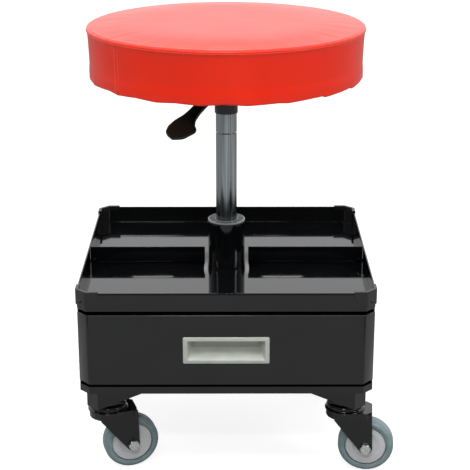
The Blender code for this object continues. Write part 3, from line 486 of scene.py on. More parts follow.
# The cover: the pad's profile on a fine grid, laid on the swollen pad, then sewn, tucked and turned under.
def makeCushion():
    pad = simulatePad()
    crown, shoulder = padProfile(0.0)
    line = np.concatenate([crown, shoulder[1:]])
    length = np.concatenate([[0], np.cumsum(np.linalg.norm(np.diff(line, axis=0), axis=1))])
    seam = np.interp(seatHigh.z - cushion["seamDrop"], line[::-1, 1], length[::-1])
    fine = np.concatenate([np.linspace(0, seam - 5 * mm, 16, endpoint=False),
                           np.linspace(seam - 5 * mm, seam + 5 * mm, 26, endpoint=False),
                           np.linspace(seam + 5 * mm, length[-1], 34)])
    radius = np.interp(fine, length, line[:, 0])
    height = np.interp(fine, length, line[:, 1])
    angle = np.arange(cushion["columns"]) * math.tau / cushion["columns"]
    around = np.stack([np.cos(angle), np.sin(angle)], -1)
    level = np.broadcast_to(height[:, None, None], (len(fine), len(angle), 1))
    outer = np.concatenate([radius[:, None, None] * around, level], -1)
    cover = bpy.data.objects.new("cover", meshFromGrids("cover", [(outer, False, True)]))
    scene.collection.objects.link(cover)
    free = np.clip((height - seatLow.z - cushion["freeFrom"]) / cushion["freeOver"], 0, 1)
    group = cover.vertex_groups.new(name="free")
    for row, weight in enumerate(free):
        first = row * len(angle)
        group.add(list(range(first, first + len(angle))), float(weight), "REPLACE")
    wrap = cover.modifiers.new("wrap", "SHRINKWRAP")
    wrap.target = pad
    wrap.wrap_method = "PROJECT"
    wrap.use_negative_direction = True
    wrap.use_positive_direction = True
    wrap.project_limit = 9 * mm
    wrap.vertex_group = "free"
    applyModifiers(cover)
    swell = readPoints(cover.data).reshape(outer.shape) - outer
    bpy.data.objects.remove(cover)
    bpy.data.objects.remove(pad)
    tangent = np.gradient(outer, axis=0)
    tangent /= np.linalg.norm(tangent, axis=2, keepdims=True)
    sideways = np.stack([-np.sin(angle), np.cos(angle), 0 * angle], -1)
    outward = np.cross(sideways[None], tangent)
    outward *= np.sign((outward * np.append(around, np.ones((len(angle), 1)), 1)).sum(2, keepdims=True))
    # The cover takes the pad's swell along its own normals, within the slack that it was cut with
    swell = (swell * outward).sum(2)
    print("cover follows the pad from", round(swell.min() / mm, 2), "to", round(swell.max() / mm, 2), "mm")
    swell = np.clip(swell - np.median(swell[free > 0.99]), -cushion["slack"], cushion["slack"])
    for _ in range(cushion["smoothing"]):
        swell = (np.roll(swell, 1, 1) + 2 * swell + np.roll(swell, -1, 1)) / 4
        swell[1:-1] = (swell[:-2] + 2 * swell[1:-1] + swell[2:]) / 4
    outer = outer + outward * (swell * free[:, None])[..., None]

    # Sewn edge: a raised fold with a groove above and below it, drawn in a little at each stitch
    fromSeam = (fine - seam)[:, None]
    stitchWave = np.cos(angle * stitches["count"])[None]
    sewn = ridge(fromSeam, *cushion["fold"]) * (1 + cushion["stitchPull"] * stitchWave)
    sewn = sewn + sum(ridge(fromSeam, *groove) for groove in cushion["grooves"])
    # Pull of the thread: shallow puckers that fade down the band and over the top
    waves = cushion["puckerWaves"]
    puckers = sum(np.sin(angle * turns + phase) for turns, phase in waves) / len(waves)
    sewn = sewn + ridge(fromSeam, *cushion["pucker"]) * puckers[None]
    # Joint of the band: one side laps over the other along a line down the band
    away = ((angle - cushion["bandSeam"] + math.pi) % math.tau - math.pi) * seatRadius
    lap = ridge(away, *cushion["lap"]) + ridge(away, *cushion["lapGroove"])
    sewn = sewn + lap[None] * np.clip(fromSeam / cushion["lapStart"], 0, 1)
    outer = outer + outward * sewn[..., None]

    # Hem: straight pulls between the tucks, with a low point at each tuck, all a little uneven
    count = np.arange(2 * cushion["tucks"])
    uneven = count + 0.25 * np.sin(count * 2.7) + 0.35 * (count % 2)
    places = uneven * math.pi / cushion["tucks"] + cushion["tuckStart"]
    depths = (count % 2) * (0.72 + 0.28 * np.sin(count * 1.9))
    hemLine = np.interp(angle, places % math.tau, depths, period=math.tau)
    nearHem = ridge(np.maximum(length[-1] - fine, 0), cushion["hemReach"])[:, None]
    outer[..., 2] += cushion["tuckDepth"] * hemLine[None] * nearHem
    swing = ridge(hemLine, *cushion["crease"]) - cushion["tuckIn"] * hemLine
    outer[..., :2] += around[None] * (swing[None] * nearHem)[..., None]

    # Turned under the board: a round edge, the flat hem, then back over the board
    edge = outer[-1]
    under = [edge * (1, 1, 0) - np.append(around * inward, np.zeros((len(angle), 1)), 1)
             + np.stack([0 * angle, 0 * angle, edge[:, 2] - drop], -1)
             for inward, drop in cushion["hemEdge"]]
    coverTop = seatLow.z + cushion["cover"]
    boardTop = boardHigh.z + cushion["gap"]
    boardEdge = boardRadius + cushion["gap"]
    rings = [(hemRadius - cushion["hemRound"], seatLow.z), (hemRadius - cushion["hemWidth"], seatLow.z),
             (hemRadius - cushion["hemWidth"], coverTop), (boardEdge, coverTop), (boardEdge, boardTop),
             (boardRadius * 0.5, boardTop), (0.0, boardTop)]
    inner = lathe(rings, len(angle))
    inner[:2, :, 2] += cushion["ripple"] * np.sin(angle * cushion["tucks"] * 2)
    centre = np.zeros((1, len(angle), 3))
    centre[..., 2] = outer[0, :, 2].mean()
    whole = np.concatenate([centre, outer, under, inner])
    piece = addShape("vinyl_cushion", [(whole, False, True)], vinyl, "seat", ["seat_cushion"],
                     sharpAngle=60)
    return outer, outward, fine, seam, angle


# Stitches along the top seam and in twin rows down the lap of the band.
stitches = {"count": 376, "thread": 0.45 * mm, "length": 2.2 * mm, "below": 2.1 * mm, "pitch": 3.0 * mm,
            "fromLap": 2.6 * mm, "fromSeam": 5 * mm, "fromHem": 6 * mm}


# One stitch: a round thread bent over, its ends lower than its middle by a cosine.
def stitchGrid(length, thickness):
    along = np.linspace(-1, 1, 6)[:, None]
    around = np.arange(5)[None] * math.tau / 5
    width = thickness * np.sqrt(np.clip(1.02 - along ** 2, 0.02, 1))
    return np.stack([along * length / 2 + 0 * around, width * np.cos(around),
                     width * np.sin(around) + thickness * np.cos(along * math.pi / 2)], -1)


def sewAt(points, normals, tangents):
    across = np.cross(normals, tangents)
    grid = stitchGrid(stitches["length"], stitches["thread"])
    return repeatGrid(grid, points, np.stack([tangents, across, normals], 1))


def makeStitches(outer, outward, fine, seam, angle):
    row = int(np.argmin(abs(fine - seam - stitches["below"])))
    pick = (np.arange(stitches["count"]) + 0.5) / stitches["count"] * len(angle)
    low = np.floor(pick).astype(int) % len(angle)
    part = (pick % 1)[:, None]

    def between(field):
        return field[low] * (1 - part) + field[(low + 1) % len(angle)] * part

    points = between(outer[row])
    normals = between(outward[row])
    normals /= np.linalg.norm(normals, axis=1, keepdims=True)
    turn = np.arctan2(points[:, 1], points[:, 0])
    tangents = np.stack([-np.sin(turn), np.cos(turn), 0 * turn], -1)
    sewn = sewAt(points, normals, tangents)
    # Twin rows down the lap of the band
    rows = np.flatnonzero((fine > seam + stitches["fromSeam"]) & (fine < fine[-1] - stitches["fromHem"]))
    for sidestep in (-stitches["fromLap"], stitches["fromLap"]):
        column = int(round((cushion["bandSeam"] + sidestep / seatRadius) % math.tau / math.tau * len(angle)))
        heights = np.arange(outer[rows[-1], column, 2], outer[rows[0], column, 2], stitches["pitch"])
        line = outer[rows[::-1], column]
        spot = np.stack([np.interp(heights, line[:, 2], line[:, k]) for k in range(3)], -1)
        normal = np.repeat(outward[rows[len(rows) // 2], column][None], len(spot), 0)
        along = (line[-1] - line[0]) / np.linalg.norm(line[-1] - line[0])
        down = np.repeat(along[None], len(spot), 0)
        down -= normal * (down * normal).sum(1, keepdims=True)
        sewn += sewAt(spot, normal, down / np.linalg.norm(down, axis=1, keepdims=True))
    addShape("cushion_stitches", [(grid, False, True) for grid in sewn], thread, "seat",
             closeEnds=True)


# Wire staples that hold the hem under the board
staples = {"count": 48, "wire": 0.6 * mm, "width": 10 * mm, "inset": 11 * mm, "proud": 0.35 * mm}


def makeStaples():
    count = np.arange(staples["count"])
    turn = (count + 0.3 * np.sin(count * 2.3)) * math.tau / len(count)
    radius = hemRadius - staples["inset"]
    height = seatLow.z - staples["proud"] + 0 * turn
    points = np.stack([radius * np.cos(turn), radius * np.sin(turn), height], -1)
    normals = np.repeat([[0.0, 0.0, -1.0]], len(turn), 0)
    lean = turn + 0.25 * np.sin(turn * 9)
    tangents = np.stack([-np.sin(lean), np.cos(lean), 0 * turn], -1)
    grid = stitchGrid(staples["width"], staples["wire"] / 2)
    axes = np.stack([tangents, np.cross(normals, tangents), normals], 1)
    copies = [(copy, False, True) for copy in repeatGrid(grid, points, axes)]
    addShape("hem_staples", copies, zinc, "seat", closeEnds=True)


sewnSurface = makeCushion()
makeStitches(*sewnSurface)
makeStaples()
print("cushion ready")

# Gas lift: drops are measured down from the top of the cylinder.
lift = {
    "grooveDrop": 54.3 * mm, "grooveDepth": 1.0 * mm, "grooveHalf": 0.9 * mm, "taper": 0.8 * mm,
    "taperDrop": 27 * mm, "buttonHole": 4.3 * mm, "buttonDrop": 18 * mm, "bore": 11 * mm, "boreDrop": 40 * mm,
    "rodHole": 5.3 * mm, "endWall": 8 * mm,
}


# Cylinder: a straight tube with a rolled groove, tapered above the groove's collar, bored from below.
def makeLift():
    low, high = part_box("gas_cylinder")
    radius = high.x
    groove = high.z - lift["grooveDrop"]
    ring = np.linspace(-math.pi / 2, math.pi / 2, 9)
    rolled = [(radius - lift["grooveDepth"] * math.cos(turn), groove - lift["grooveHalf"] * math.sin(turn))
              for turn in ring]
    outside = roundCorners([(lift["buttonHole"], high.z, 0), (radius - lift["taper"], high.z, 0.6 * mm),
                            (radius, high.z - lift["taperDrop"], 0)], False)
    boreTop = high.z - lift["boreDrop"]
    boreEnd = low.z + lift["endWall"]
    bottom = roundCorners([(radius, groove - 1.2 * mm, 0), (radius, low.z, 1.2 * mm),
                           (lift["rodHole"], low.z, 0), (lift["rodHole"], boreEnd, 0),
                           (lift["bore"], boreEnd, 0),
                           (lift["bore"], boreTop, 0), (0, boreTop, 0)], False)
    buttonFloor = high.z - lift["buttonDrop"]
    stem = [(0, buttonFloor), (lift["buttonHole"], buttonFloor)]
    profile = np.concatenate([stem, outside, rolled, bottom])
    addShape("lift_cylinder", [(lathe(profile, 96), False, True)], chrome, "seat", ["gas_cylinder"])


column = {"tube": 24.8 * mm, "bore": 22.6 * mm, "flange": 4.0 * mm, "weld": 2.5 * mm, "footHole": 5.5 * mm,
          "footPlate": 3 * mm}
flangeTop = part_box("bottom_pan")[0].z - 0.3 * mm


# Column: a tube with a rolled mouth, a fillet weld onto its flange and a stepped foot.
def makeColumn():
    low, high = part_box("column_tube")
    tube, bore = column["tube"], column["bore"]
    flangeLow = flangeTop - column["flange"]
    foot = low.z
    plate = foot + column["footPlate"]
    profile = roundCorners([
        (bore, high.z, 0.5 * mm), (tube, high.z, 0.9 * mm), (tube, flangeTop, 0.0),
        (high.x, flangeTop, 0.8 * mm), (high.x, flangeLow, 0.8 * mm), (tube, flangeLow, column["weld"]),
        (tube, foot, 1.0 * mm),
        (column["footHole"], foot, 0), (column["footHole"], plate, 0), (bore, plate, 0)], True)
    addShape("column_sleeve", [(lathe(profile, 96), True, True)], powderCoat, "base",
             ["column_tube"])


# The last two settings place a black ring of painted shade in the pockets, below the rib tops.
bush = {"pockets": 18, "ribShare": 0.24, "ribEdge": 60, "pocketDepth": 6.0 * mm, "bore": 14.25 * mm,
        "land": 0.9 * mm, "rimWidth": 1.3 * mm, "flange": 2 * mm, "sleeveInset": 2.6 * mm,
        "sealDrop": 0.9 * mm, "sealHeight": 1 * mm}


# Bush: a flanged sleeve whose top is ribbed like a gear, by dropping the middle rings between the ribs.
def makeBush():
    low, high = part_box("guide_bush")
    outer = high.x
    inner = bush["bore"]
    angle = np.arange(336) * math.tau / 336
    wave = (angle / math.tau * bush["pockets"]) % 1
    pocket = 1 / (1 + np.exp((np.abs(wave - 0.5) - 0.5 + bush["ribShare"] / 2) * bush["ribEdge"]))
    middle = (inner + outer) / 2
    rings = [(inner + 0.3 * mm, 0), (inner + bush["land"], 0), (inner + bush["land"] + 0.2 * mm, 1),
             (middle, 1), (outer - bush["rimWidth"] - 0.2 * mm, 1), (outer - bush["rimWidth"], 0)]
    top = np.stack([np.stack([radius * np.cos(angle), radius * np.sin(angle),
                              high.z - deep * bush["pocketDepth"] * pocket], -1) for radius, deep in rings])
    sleeve = outer - bush["sleeveInset"]
    under = high.z - bush["flange"]
    side = lathe(roundCorners([(outer - bush["rimWidth"] + 0.1 * mm, high.z, 0), (outer, high.z, 0.5 * mm),
                               (outer, under, 0.3 * mm), (sleeve, under, 0), (sleeve, low.z, 0),
                               (inner, low.z, 0), (inner, high.z - 0.4 * mm, 0)], False), len(angle))
    addShape("ribbed_bush", [(np.concatenate([top, side]), True, True)], nylon, "base",
             ["guide_bush"])
    # Painted shade: a black ring laid in the pockets, just under the rib tops, stands for the shade in them
    shadeRingTop = high.z - bush["sealDrop"]
    shadeRingLow = shadeRingTop - bush["sealHeight"]
    shadeRingIn = inner + bush["land"] - 0.4 * mm
    shadeRingOut = outer - bush["rimWidth"] + 0.3 * mm
    shadeRing = [(shadeRingIn, shadeRingTop), (shadeRingOut, shadeRingTop), (shadeRingOut, shadeRingLow), (shadeRingIn, shadeRingLow)]
    addShape("wiper_seal", [(lathe(shadeRing, 96), True, True)], blackPlastic, "base")


makeLift()
makeColumn()
makeBush()
print("column ready")

# Tray: pressed from one sheet, with its corners cut off.
tray = {"chamfer": 12.5 * mm, "sheet": 1.5 * mm, "fold": 1.6 * mm, "hole": 25.1 * mm}


# Points round a rectangle with cut corners, evenly enough for a circle inside it to match them.
def cutCornerLoop(halfX, halfY, cut, perSide=12):
    x, y = halfX, halfY
    turnings = [(x, -y + cut), (x, y - cut), (x - cut, y), (-x + cut, y), (-x, y - cut), (-x, -y + cut),
                (-x + cut, -y), (x - cut, -y)]
    line = []
    for k, start in enumerate(turnings):
        end = np.array(turnings[(k + 1) % len(turnings)])
        count = perSide if k % 2 == 0 else 1
        share = np.arange(count)[:, None] / count
        line.append(np.array(start) * (1 - share) + end * share)
    return np.concatenate(line)


def makeTray():
    low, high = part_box("tray")
    loop = cutCornerLoop(high.x, high.y, tray["chamfer"])
    angle = np.arctan2(loop[:, 1], loop[:, 0])
    circle = tray["hole"] * np.stack([np.cos(angle), np.sin(angle)], -1)

    def ring(line, height):
        return np.concatenate([line, np.full((len(line), 1), height)], 1)

    share = np.linspace(0, 1, 7)[:, None, None]
    floor = ring(circle, low.z)[None] * (1 - share) + ring(loop, low.z)[None] * share
    rise = np.stack([ring(loop, height) for height in (low.z + 6 * mm, high.z - 7 * mm, high.z)])
    piece = addShape("pressed_tray", [(np.concatenate([floor, rise]), False, True)], powderCoat, "base",
                     ["tray"])
    faceOutwards(piece.data)
    foldSheet(piece, tray["sheet"], tray["fold"], 0.4 * mm)


# An open surface has no volume, so it is turned by its lowest face, which has to look down.
def faceOutwards(mesh, towards=(0, 0, -1)):
    work = bmesh.new()
    work.from_mesh(mesh)
    bmesh.ops.recalc_face_normals(work, faces=work.faces)
    extreme = max(work.faces, key=lambda face: face.calc_center_median().dot(Vector(towards)) * 100
                  + abs(face.normal.dot(Vector(towards))))
    if extreme.normal.dot(Vector(towards)) < 0:
        bmesh.ops.reverse_faces(work, faces=work.faces)
    work.to_mesh(mesh)
    work.free()


makeTray()

# Dividers: an angle of folded sheet, drawn as its line in Y and Z and carried along X.
divider = {"sheet": 1.2 * mm, "fold": 1.6 * mm}


def makeDivider(side):
    low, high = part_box(f"divider_{side}")
    line = [(high.y, low.z), (low.y, low.z), (low.y, high.z)]
    ends = np.array([low.x, high.x])
    grid = np.stack([np.stack([ends, np.full(2, y), np.full(2, z)], -1) for y, z in line])
    mesh = meshFromGrids(f"tray_divider_{side}", [(grid, False, False)])
    piece = addPiece(f"tray_divider_{side}", mesh, powderCoat, "base", [f"divider_{side}"])
    faceOutwards(mesh)
    mesh.shade_smooth()
    foldSheet(piece, divider["sheet"], divider["fold"])


for side in ("left", "right"):
    makeDivider(side)

# Corner caps: a clip section over the rim, carried round the cut corner.
# Each step of the section is its offset from the rim, its share of the cap's height, and a step up or down.
cap = {"reach": 28 * mm, "wall": 1.2 * mm, "lip": 7 * mm, "round": 3 * mm, "slant": 0.558, "proud": 1.5 * mm,
       "gap": 0.3 * mm, "soft": 0.35 * mm, "screwHeight": 5 * mm}


def makeCap(name, sideX, sideY):
    low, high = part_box(f"corner_cap_{name}")
    x, y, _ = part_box("tray")[1]
    cut = tray["chamfer"]
    path = [(x, y - cap["reach"], 0), (x, y - cut, cap["round"]), (x - cut, y, cap["round"]),
            (x - cap["reach"], y, 0)]
    line = roundCorners(path, False, 6)
    distance = np.concatenate([[0], np.cumsum(np.linalg.norm(np.diff(line, axis=0), axis=1))])
    fine = np.linspace(0, distance[-1], 49)
    line = np.stack([np.interp(fine, distance, line[:, k]) for k in range(2)], -1)
    middle = abs(fine - fine[-1] / 2)
    straight = cut / math.sqrt(2) * 1.2
    rising = np.clip((middle - straight) / (fine[-1] / 2 - straight), 0, 1)
    drop = (high.z - low.z) * (1 - cap["slant"] * rising)
    proud = cap["proud"]
    clip = -tray["sheet"] - cap["gap"]
    inside = -tray["sheet"] - 1.5 * mm
    section = [(proud - 0.5 * mm, 1.0, 0), (proud, 1.0, -0.5 * mm), (proud, 0.0, 0.9 * mm),
               (proud, 0.0, 0.5 * mm), (proud, 0.0, 0), (cap["gap"], 0.0, 0), (cap["gap"], 1.0, -cap["wall"]),
               (clip, 1.0, -cap["wall"]), (clip, 1.0, -cap["lip"]),
               (inside, 1.0, -cap["lip"]), (inside, 1.0, -0.5 * mm), (inside + 0.5 * mm, 1.0, 0)]
    across = mitres(line)
    rows = []
    for offset, share, step in section:
        flat = line + across * offset
        height = high.z - drop * (1 - share) + step
        rows.append(np.concatenate([flat, height[:, None]], 1))
    grid = np.stack(rows) * (sideX, sideY, 1)
    piece = addShape(f"corner_guard_{name}", [(grid, True, False)], blackPlastic, "base",
                     [f"corner_cap_{name}"], closeEnds=True, sharpAngle=30)
    addBevel(piece, "edges", cap["soft"], 2, 40)
    # Pan-head screw low on the cut face
    face = np.array([x - cut / 2, y - cut / 2]) + proud / math.sqrt(2)
    turn = placeAlong((face[0] * sideX, face[1] * sideY, low.z + cap["screwHeight"]), (sideX, sideY, 0))
    head = turn(lathe([(0, 0.2 * mm), (0.9 * mm, 0.25 * mm), (1.0 * mm, 1.1 * mm), (1.7 * mm, 0.9 * mm),
                       (2.4 * mm, 0.2 * mm), (2.4 * mm, -1.0 * mm), (0, -1.0 * mm)], 24))
    addShape(f"guard_screw_{name}", [(head, False, True)], powderCoat, "base")


for name, (sideX, sideY) in corners.items():
    makeCap(name, sideX, sideY)
print("tray ready")

# Drawer front and the pull let into it.
drawer = {"chamfer": 13 * mm, "sheet": 1.2 * mm, "fold": 1.5 * mm, "holeX": 51.8 * mm, "holeLow": 2.7 * mm,
          "holeHigh": 2.5 * mm}
pull = {"round": 1.6 * mm, "soft": 0.9 * mm, "mouthInset": (5.5 * mm, 5.0 * mm, 4.8 * mm),
        "backHalf": 43 * mm, "backLow": 14.5 * mm, "backHigh": 6.3 * mm, "depth": 17.4 * mm, "wall": 2.0 * mm}


# Points round an upright rectangle with round corners, the same number whatever its size.
def rectangleLoop(half, low, high, radius):
    return roundCorners([(half, low, radius), (half, high, radius), (-half, high, radius),
                         (-half, low, radius)], True, 4)


# Drawer front: rings from the pull's hole out to the face's edge, then back to the turned edges.
def makeDrawerFront():
    low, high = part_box("drawer_front")
    pullLow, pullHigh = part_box("drawer_handle")
    sharp = 0.01 * mm
    loops = [(drawer["holeX"], pullLow.z + drawer["holeLow"], pullHigh.z - drawer["holeHigh"], 0),
             (high.x - drawer["chamfer"], low.z, high.z, 0), (high.x, low.z, high.z, low.y - high.y)]
    grid = np.stack([np.concatenate([rectangleLoop(half, bottom, top, sharp), np.full((20, 1), ahead)], 1)
                     for half, bottom, top, ahead in loops])
    grid = stand(grid) + (0, low.y, 0)
    mesh = meshFromGrids("folded_drawer_front", [(grid[:, ::5], False, True)])
    tidyMesh(mesh)
    faceOutwards(mesh, (0, -1, 0))
    piece = addPiece("folded_drawer_front", mesh, powderCoat, "drawer", ["drawer_front"])
    foldSheet(piece, drawer["sheet"], drawer["fold"])


# Pull: rings from the middle of its pocket out over the sloping sides and the bezel, and round its back.
def makePull():
    low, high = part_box("drawer_handle")
    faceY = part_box("drawer_front")[0].y
    half = high.x
    front = low.y
    insetX, insetLow, insetHigh = pull["mouthInset"]
    backY = front + pull["depth"]
    pocketHalf = drawer["holeX"] - 0.4 * mm
    pocketLow = low.z + drawer["holeLow"] + 0.4 * mm
    pocketHigh = high.z - drawer["holeHigh"] - 0.4 * mm
    soft = pull["soft"]
    mouthHalf, mouthLow, mouthHigh = half - insetX, low.z + insetLow, high.z - insetHigh
    backLow, backHigh = low.z + pull["backLow"], high.z - pull["backHigh"]
    middle = (backLow + backHigh) / 2
    rings = [
        (0.01 * mm, middle - 0.01 * mm, middle + 0.01 * mm, 0.004 * mm, backY),
        (pull["backHalf"] - soft, backLow + soft, backHigh - soft, 1 * mm, backY),
        (pull["backHalf"], backLow, backHigh, 1.5 * mm, backY - soft),
        (mouthHalf - 0.2 * mm, mouthLow + 0.3 * mm, mouthHigh - 0.2 * mm, 2 * mm, front + 1 * mm),
        (mouthHalf, mouthLow, mouthHigh, 2 * mm, front + 0.4 * mm),
        (mouthHalf + 0.4 * mm, mouthLow - 0.4 * mm, mouthHigh + 0.4 * mm, 2 * mm, front),
        (half - soft, low.z + soft, high.z - soft, pull["round"], front),
        (half - 0.25 * soft, low.z + 0.25 * soft, high.z - 0.25 * soft, pull["round"], front + 0.3 * mm),
        (half, low.z, high.z, pull["round"], front + soft),
        (half, low.z, high.z, pull["round"], faceY - 0.3 * mm),
        (pocketHalf, pocketLow, pocketHigh, 1 * mm, faceY - 0.3 * mm),
        (pocketHalf, pocketLow, pocketHigh, 1 * mm, backY + pull["wall"]),
        (0.01 * mm, middle - 0.01 * mm, middle + 0.01 * mm, 0.004 * mm, backY + pull["wall"]),
    ]
    grid = np.stack([np.concatenate([rectangleLoop(*ring[:4]), np.full((20, 1), -ring[4])], 1)
                     for ring in rings])
    addShape("recessed_pull", [(stand(grid), False, True)], pullPlastic, "drawer",
             ["drawer_handle"], closeEnds=True, sharpAngle=32)


makeDrawerFront()
makePull()
print("drawer ready")

# Casters: each wheel is turned about its axle, and each race cover about its swivel.
wheel = {
    "tyreHalf": 11.3 * mm,
    "tyreInner": 27.3 * mm,
    "shoulder": 4.5 * mm,
    "hubHalf": 13.8 * mm,
    "hubRadius": 27.0 * mm,
    "webDepth": 3.7 * mm,     # the centre's face lies this far inside its boss
    "boss": 9.5 * mm,
    "groove": (1.3 * mm, 2.6 * mm),      # width and depth of the dark line between centre and tyre
    "ring": (0.62, 0.64, 0.80, 0.82),    # shares of the centre's radius where its raised ring starts and ends
    "ringHeight": 0.4 * mm,
    "bolt": 3.8 * mm,
    "boltBore": 4.2 * mm,
    "forkHalf": 17.3 * mm,
    "hexagon": 13 * mm,
    "head": 5.3 * mm,
    "nut": 6.0 * mm,
    "washer": 0.8 * mm,
    "threadEnd": 9.5 * mm,
    "steps": 96,
}


# Tyre: a flat tread with quarter-round shoulders and slightly dished walls, turned about the axle.
def tyreProfile(radius):
    inner, half = wheel["tyreInner"], wheel["tyreHalf"]
    shoulder = wheel["shoulder"]
    upper = roundCorners([(inner, half - 1.6 * mm, 0), (inner + 0.5 * mm, half - 0.6 * mm, 0.3 * mm),
                          (radius - shoulder, half, 1.5 * mm), (radius, half - shoulder, 3.5 * mm),
                          (radius, 0, 0)], False)
    return np.concatenate([upper, upper[-2::-1] * (1, -1)])


# Wheel centre: a flat web with a shallow turned ring, a boss round the bolt and a groove against the tyre.
def hubProfile():
    radius, half = wheel["hubRadius"], wheel["hubHalf"]
    web = half - wheel["webDepth"]
    rim = radius - wheel["groove"][0]
    floor = web - wheel["groove"][1]
    raised = web + wheel["ringHeight"]
    inner, innerTop, outerTop, outer = [share * radius for share in wheel["ring"]]
    upper = roundCorners([(wheel["boltBore"], half, 0), (wheel["boss"] - 1.5 * mm, half, 1 * mm),
                          (wheel["boss"], web, 1.2 * mm), (inner, web, 0), (innerTop, raised, 0),
                          (outerTop, raised, 0), (outer, web, 0), (rim, web, 0.3 * mm), (rim, floor, 0),
                          (radius, floor, 0), (radius, 0, 0)], False)
    return np.concatenate([upper, upper[-2::-1] * (1, -1)])


# Hexagon with turned chamfers: the nearer of the flat's distance and a cone's radius at each height.
def hexGrid(acrossFlats, low, high):
    chamfer, steps = 1.0 * mm, 72
    angle = np.arange(steps) * math.tau / steps
    flats = acrossFlats / 2 / np.cos((angle + math.pi / 6) % (math.pi / 3) - math.pi / 6)
    heights = np.array([low, low, low + chamfer, high - chamfer, high, high])
    limits = np.array([0.0, 0.49, 0.60, 0.60, 0.49, 0.0]) * acrossFlats
    radius = np.minimum(flats[None], limits[:, None])
    return np.stack([radius * np.cos(angle), radius * np.sin(angle), heights[:, None] + 0 * angle], -1)


# Section of the race cover: radius, height from the fork's top and corner radius.
raceCover = np.array([
    (8, 0.1, 0), (20, 0.1, 3), (24.4, -3.6, 2.4), (23.2, -6.8, 1.2), (26.2, -8.6, 1.2), (26.2, -10.4, 0.5),
    (24.6, -10.4, 0), (21.8, -6.8, 0), (22.6, -3.8, 0), (19.6, -1.2, 0), (8, -1.0, 0),
]) * mm


def makeCaster(name):
    swivel = joints[f"caster_swivel_{name}"]
    spin = joints[f"wheel_spin_{name}"]
    place = placeAlong(spin["pos_m"], spin["axis"])
    wheelBody, forkBody = f"wheel_{name}", f"swivel_{name}"
    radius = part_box(f"tyre_{name}")[1].z - spin["pos_m"][2]
    steps = wheel["steps"]
    addShape(f"tread_{name}", [(place(lathe(tyreProfile(radius), steps)), True, True)], rubber, wheelBody,
             [f"tyre_{name}"])
    addShape(f"wheel_centre_{name}", [(place(lathe(hubProfile(), steps)), True, True)], hubPlastic, wheelBody,
             [f"hub_{name}"])
    outer, bolt = wheel["forkHalf"], wheel["bolt"]
    seat = outer + wheel["washer"]
    shaft = roundCorners([(0, -outer - 2 * mm, 0), (bolt, -outer - 2 * mm, 0),
                          (bolt, outer + 8.6 * mm, 1.2 * mm), (0, outer + wheel["threadEnd"], 0)], False)
    washer = [(3.9 * mm, outer - 0.1 * mm), (8.2 * mm, outer - 0.1 * mm), (8.4 * mm, outer + 0.5 * mm),
              (8.0 * mm, seat), (3.9 * mm, seat)]
    nut = hexGrid(wheel["hexagon"], seat, seat + wheel["nut"])
    head = hexGrid(wheel["hexagon"], -outer - wheel["head"], -outer)
    grids = [(place(lathe(shaft, 48)), False, True), (place(lathe(washer, 48)), True, True),
             (place(nut), False, True), (place(head), False, True)]
    addShape(f"axle_bolt_and_nut_{name}", grids, zinc, forkBody, [f"axle_bolt_{name}"],
             closeEnds=True)
    # Pressed race cover of the fork, with a rolled lip that catches the light
    cover = roundCorners(raceCover, False) + (0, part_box(f"fork_{name}")[1].z)
    at = placeAlong((swivel["pos_m"][0], swivel["pos_m"][1], 0), (0, 0, 1), (1, 0, 0))
    addShape(f"race_cover_{name}", [(at(lathe(cover, 72)), True, True)], powderCoat, forkBody)


for name in corners:
    makeCaster(name)
print("casters ready")

# Bolts under the column's flange and nuts over the caster plates.
fastener = {"across": 7 * mm, "height": 3.5 * mm, "flangeBolts": 4, "plateX": 13.5 * mm, "plateY": 17.5 * mm,
            "shelf": 2.3 * mm}


def makeFlangeBolts():
    under = flangeTop - column["flange"]
    radius = (column["tube"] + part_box("column_tube")[1].x) / 2 + 1 * mm
    head = hexGrid(fastener["across"], 0, fastener["height"])
    heads = []
    for turn in (np.arange(fastener["flangeBolts"]) + 0.5) * math.tau / fastener["flangeBolts"]:
        place = placeAlong((radius * math.cos(turn), radius * math.sin(turn), under), (0, 0, -1), (1, 0, 0))
        heads.append((place(head), False, True))
    addShape("flange_bolts", heads, zinc, "base", closeEnds=True)


def makePlateNuts(name):
    x, y, _ = joints[f"caster_swivel_{name}"]["pos_m"]
    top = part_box(f"caster_plate_{name}")[1].z + fastener["shelf"]
    nut = hexGrid(fastener["across"], 0, fastener["height"])
    nuts = []
    for sideX, sideY in ((-1, -1), (-1, 1), (1, -1), (1, 1)):
        corner = (x + sideX * fastener["plateX"], y + sideY * fastener["plateY"], top)
        nuts.append((placeAlong(corner, (0, 0, 1), (1, 0, 0))(nut), False, True))
    addShape(f"plate_nuts_{name}", nuts, zinc, "base", closeEnds=True)


makeFlangeBolts()
for name in corners:
    makePlateNuts(name)
print("bolts ready")

# Lever paddle: its two edges are points along it and across it, in millimetres.
paddle = {
    "thickness": 7 * mm,
    "droop": math.radians(24),
    "root": (-24 * mm, -13.5 * mm),      # along the lever and up, from its pivot
    "dish": 1.0 * mm,
    "tip": 0.10,                         # share of its length over which the tip closes
    "smoothing": 60,
    "left": [(0, -9.0), (20, -9.4), (33, -11.0), (45, -16.5), (57, -18.0), (69, -14.0), (78, -4.0),
             (80.5, 4.0)],
    "right": [(0, 8.5), (22, 9.0), (37, 12.0), (47.5, 18.0), (53.5, 25.5), (60, 27.2), (66, 23.5),
              (75.5, 19.0), (80.5, 6.0)],
}


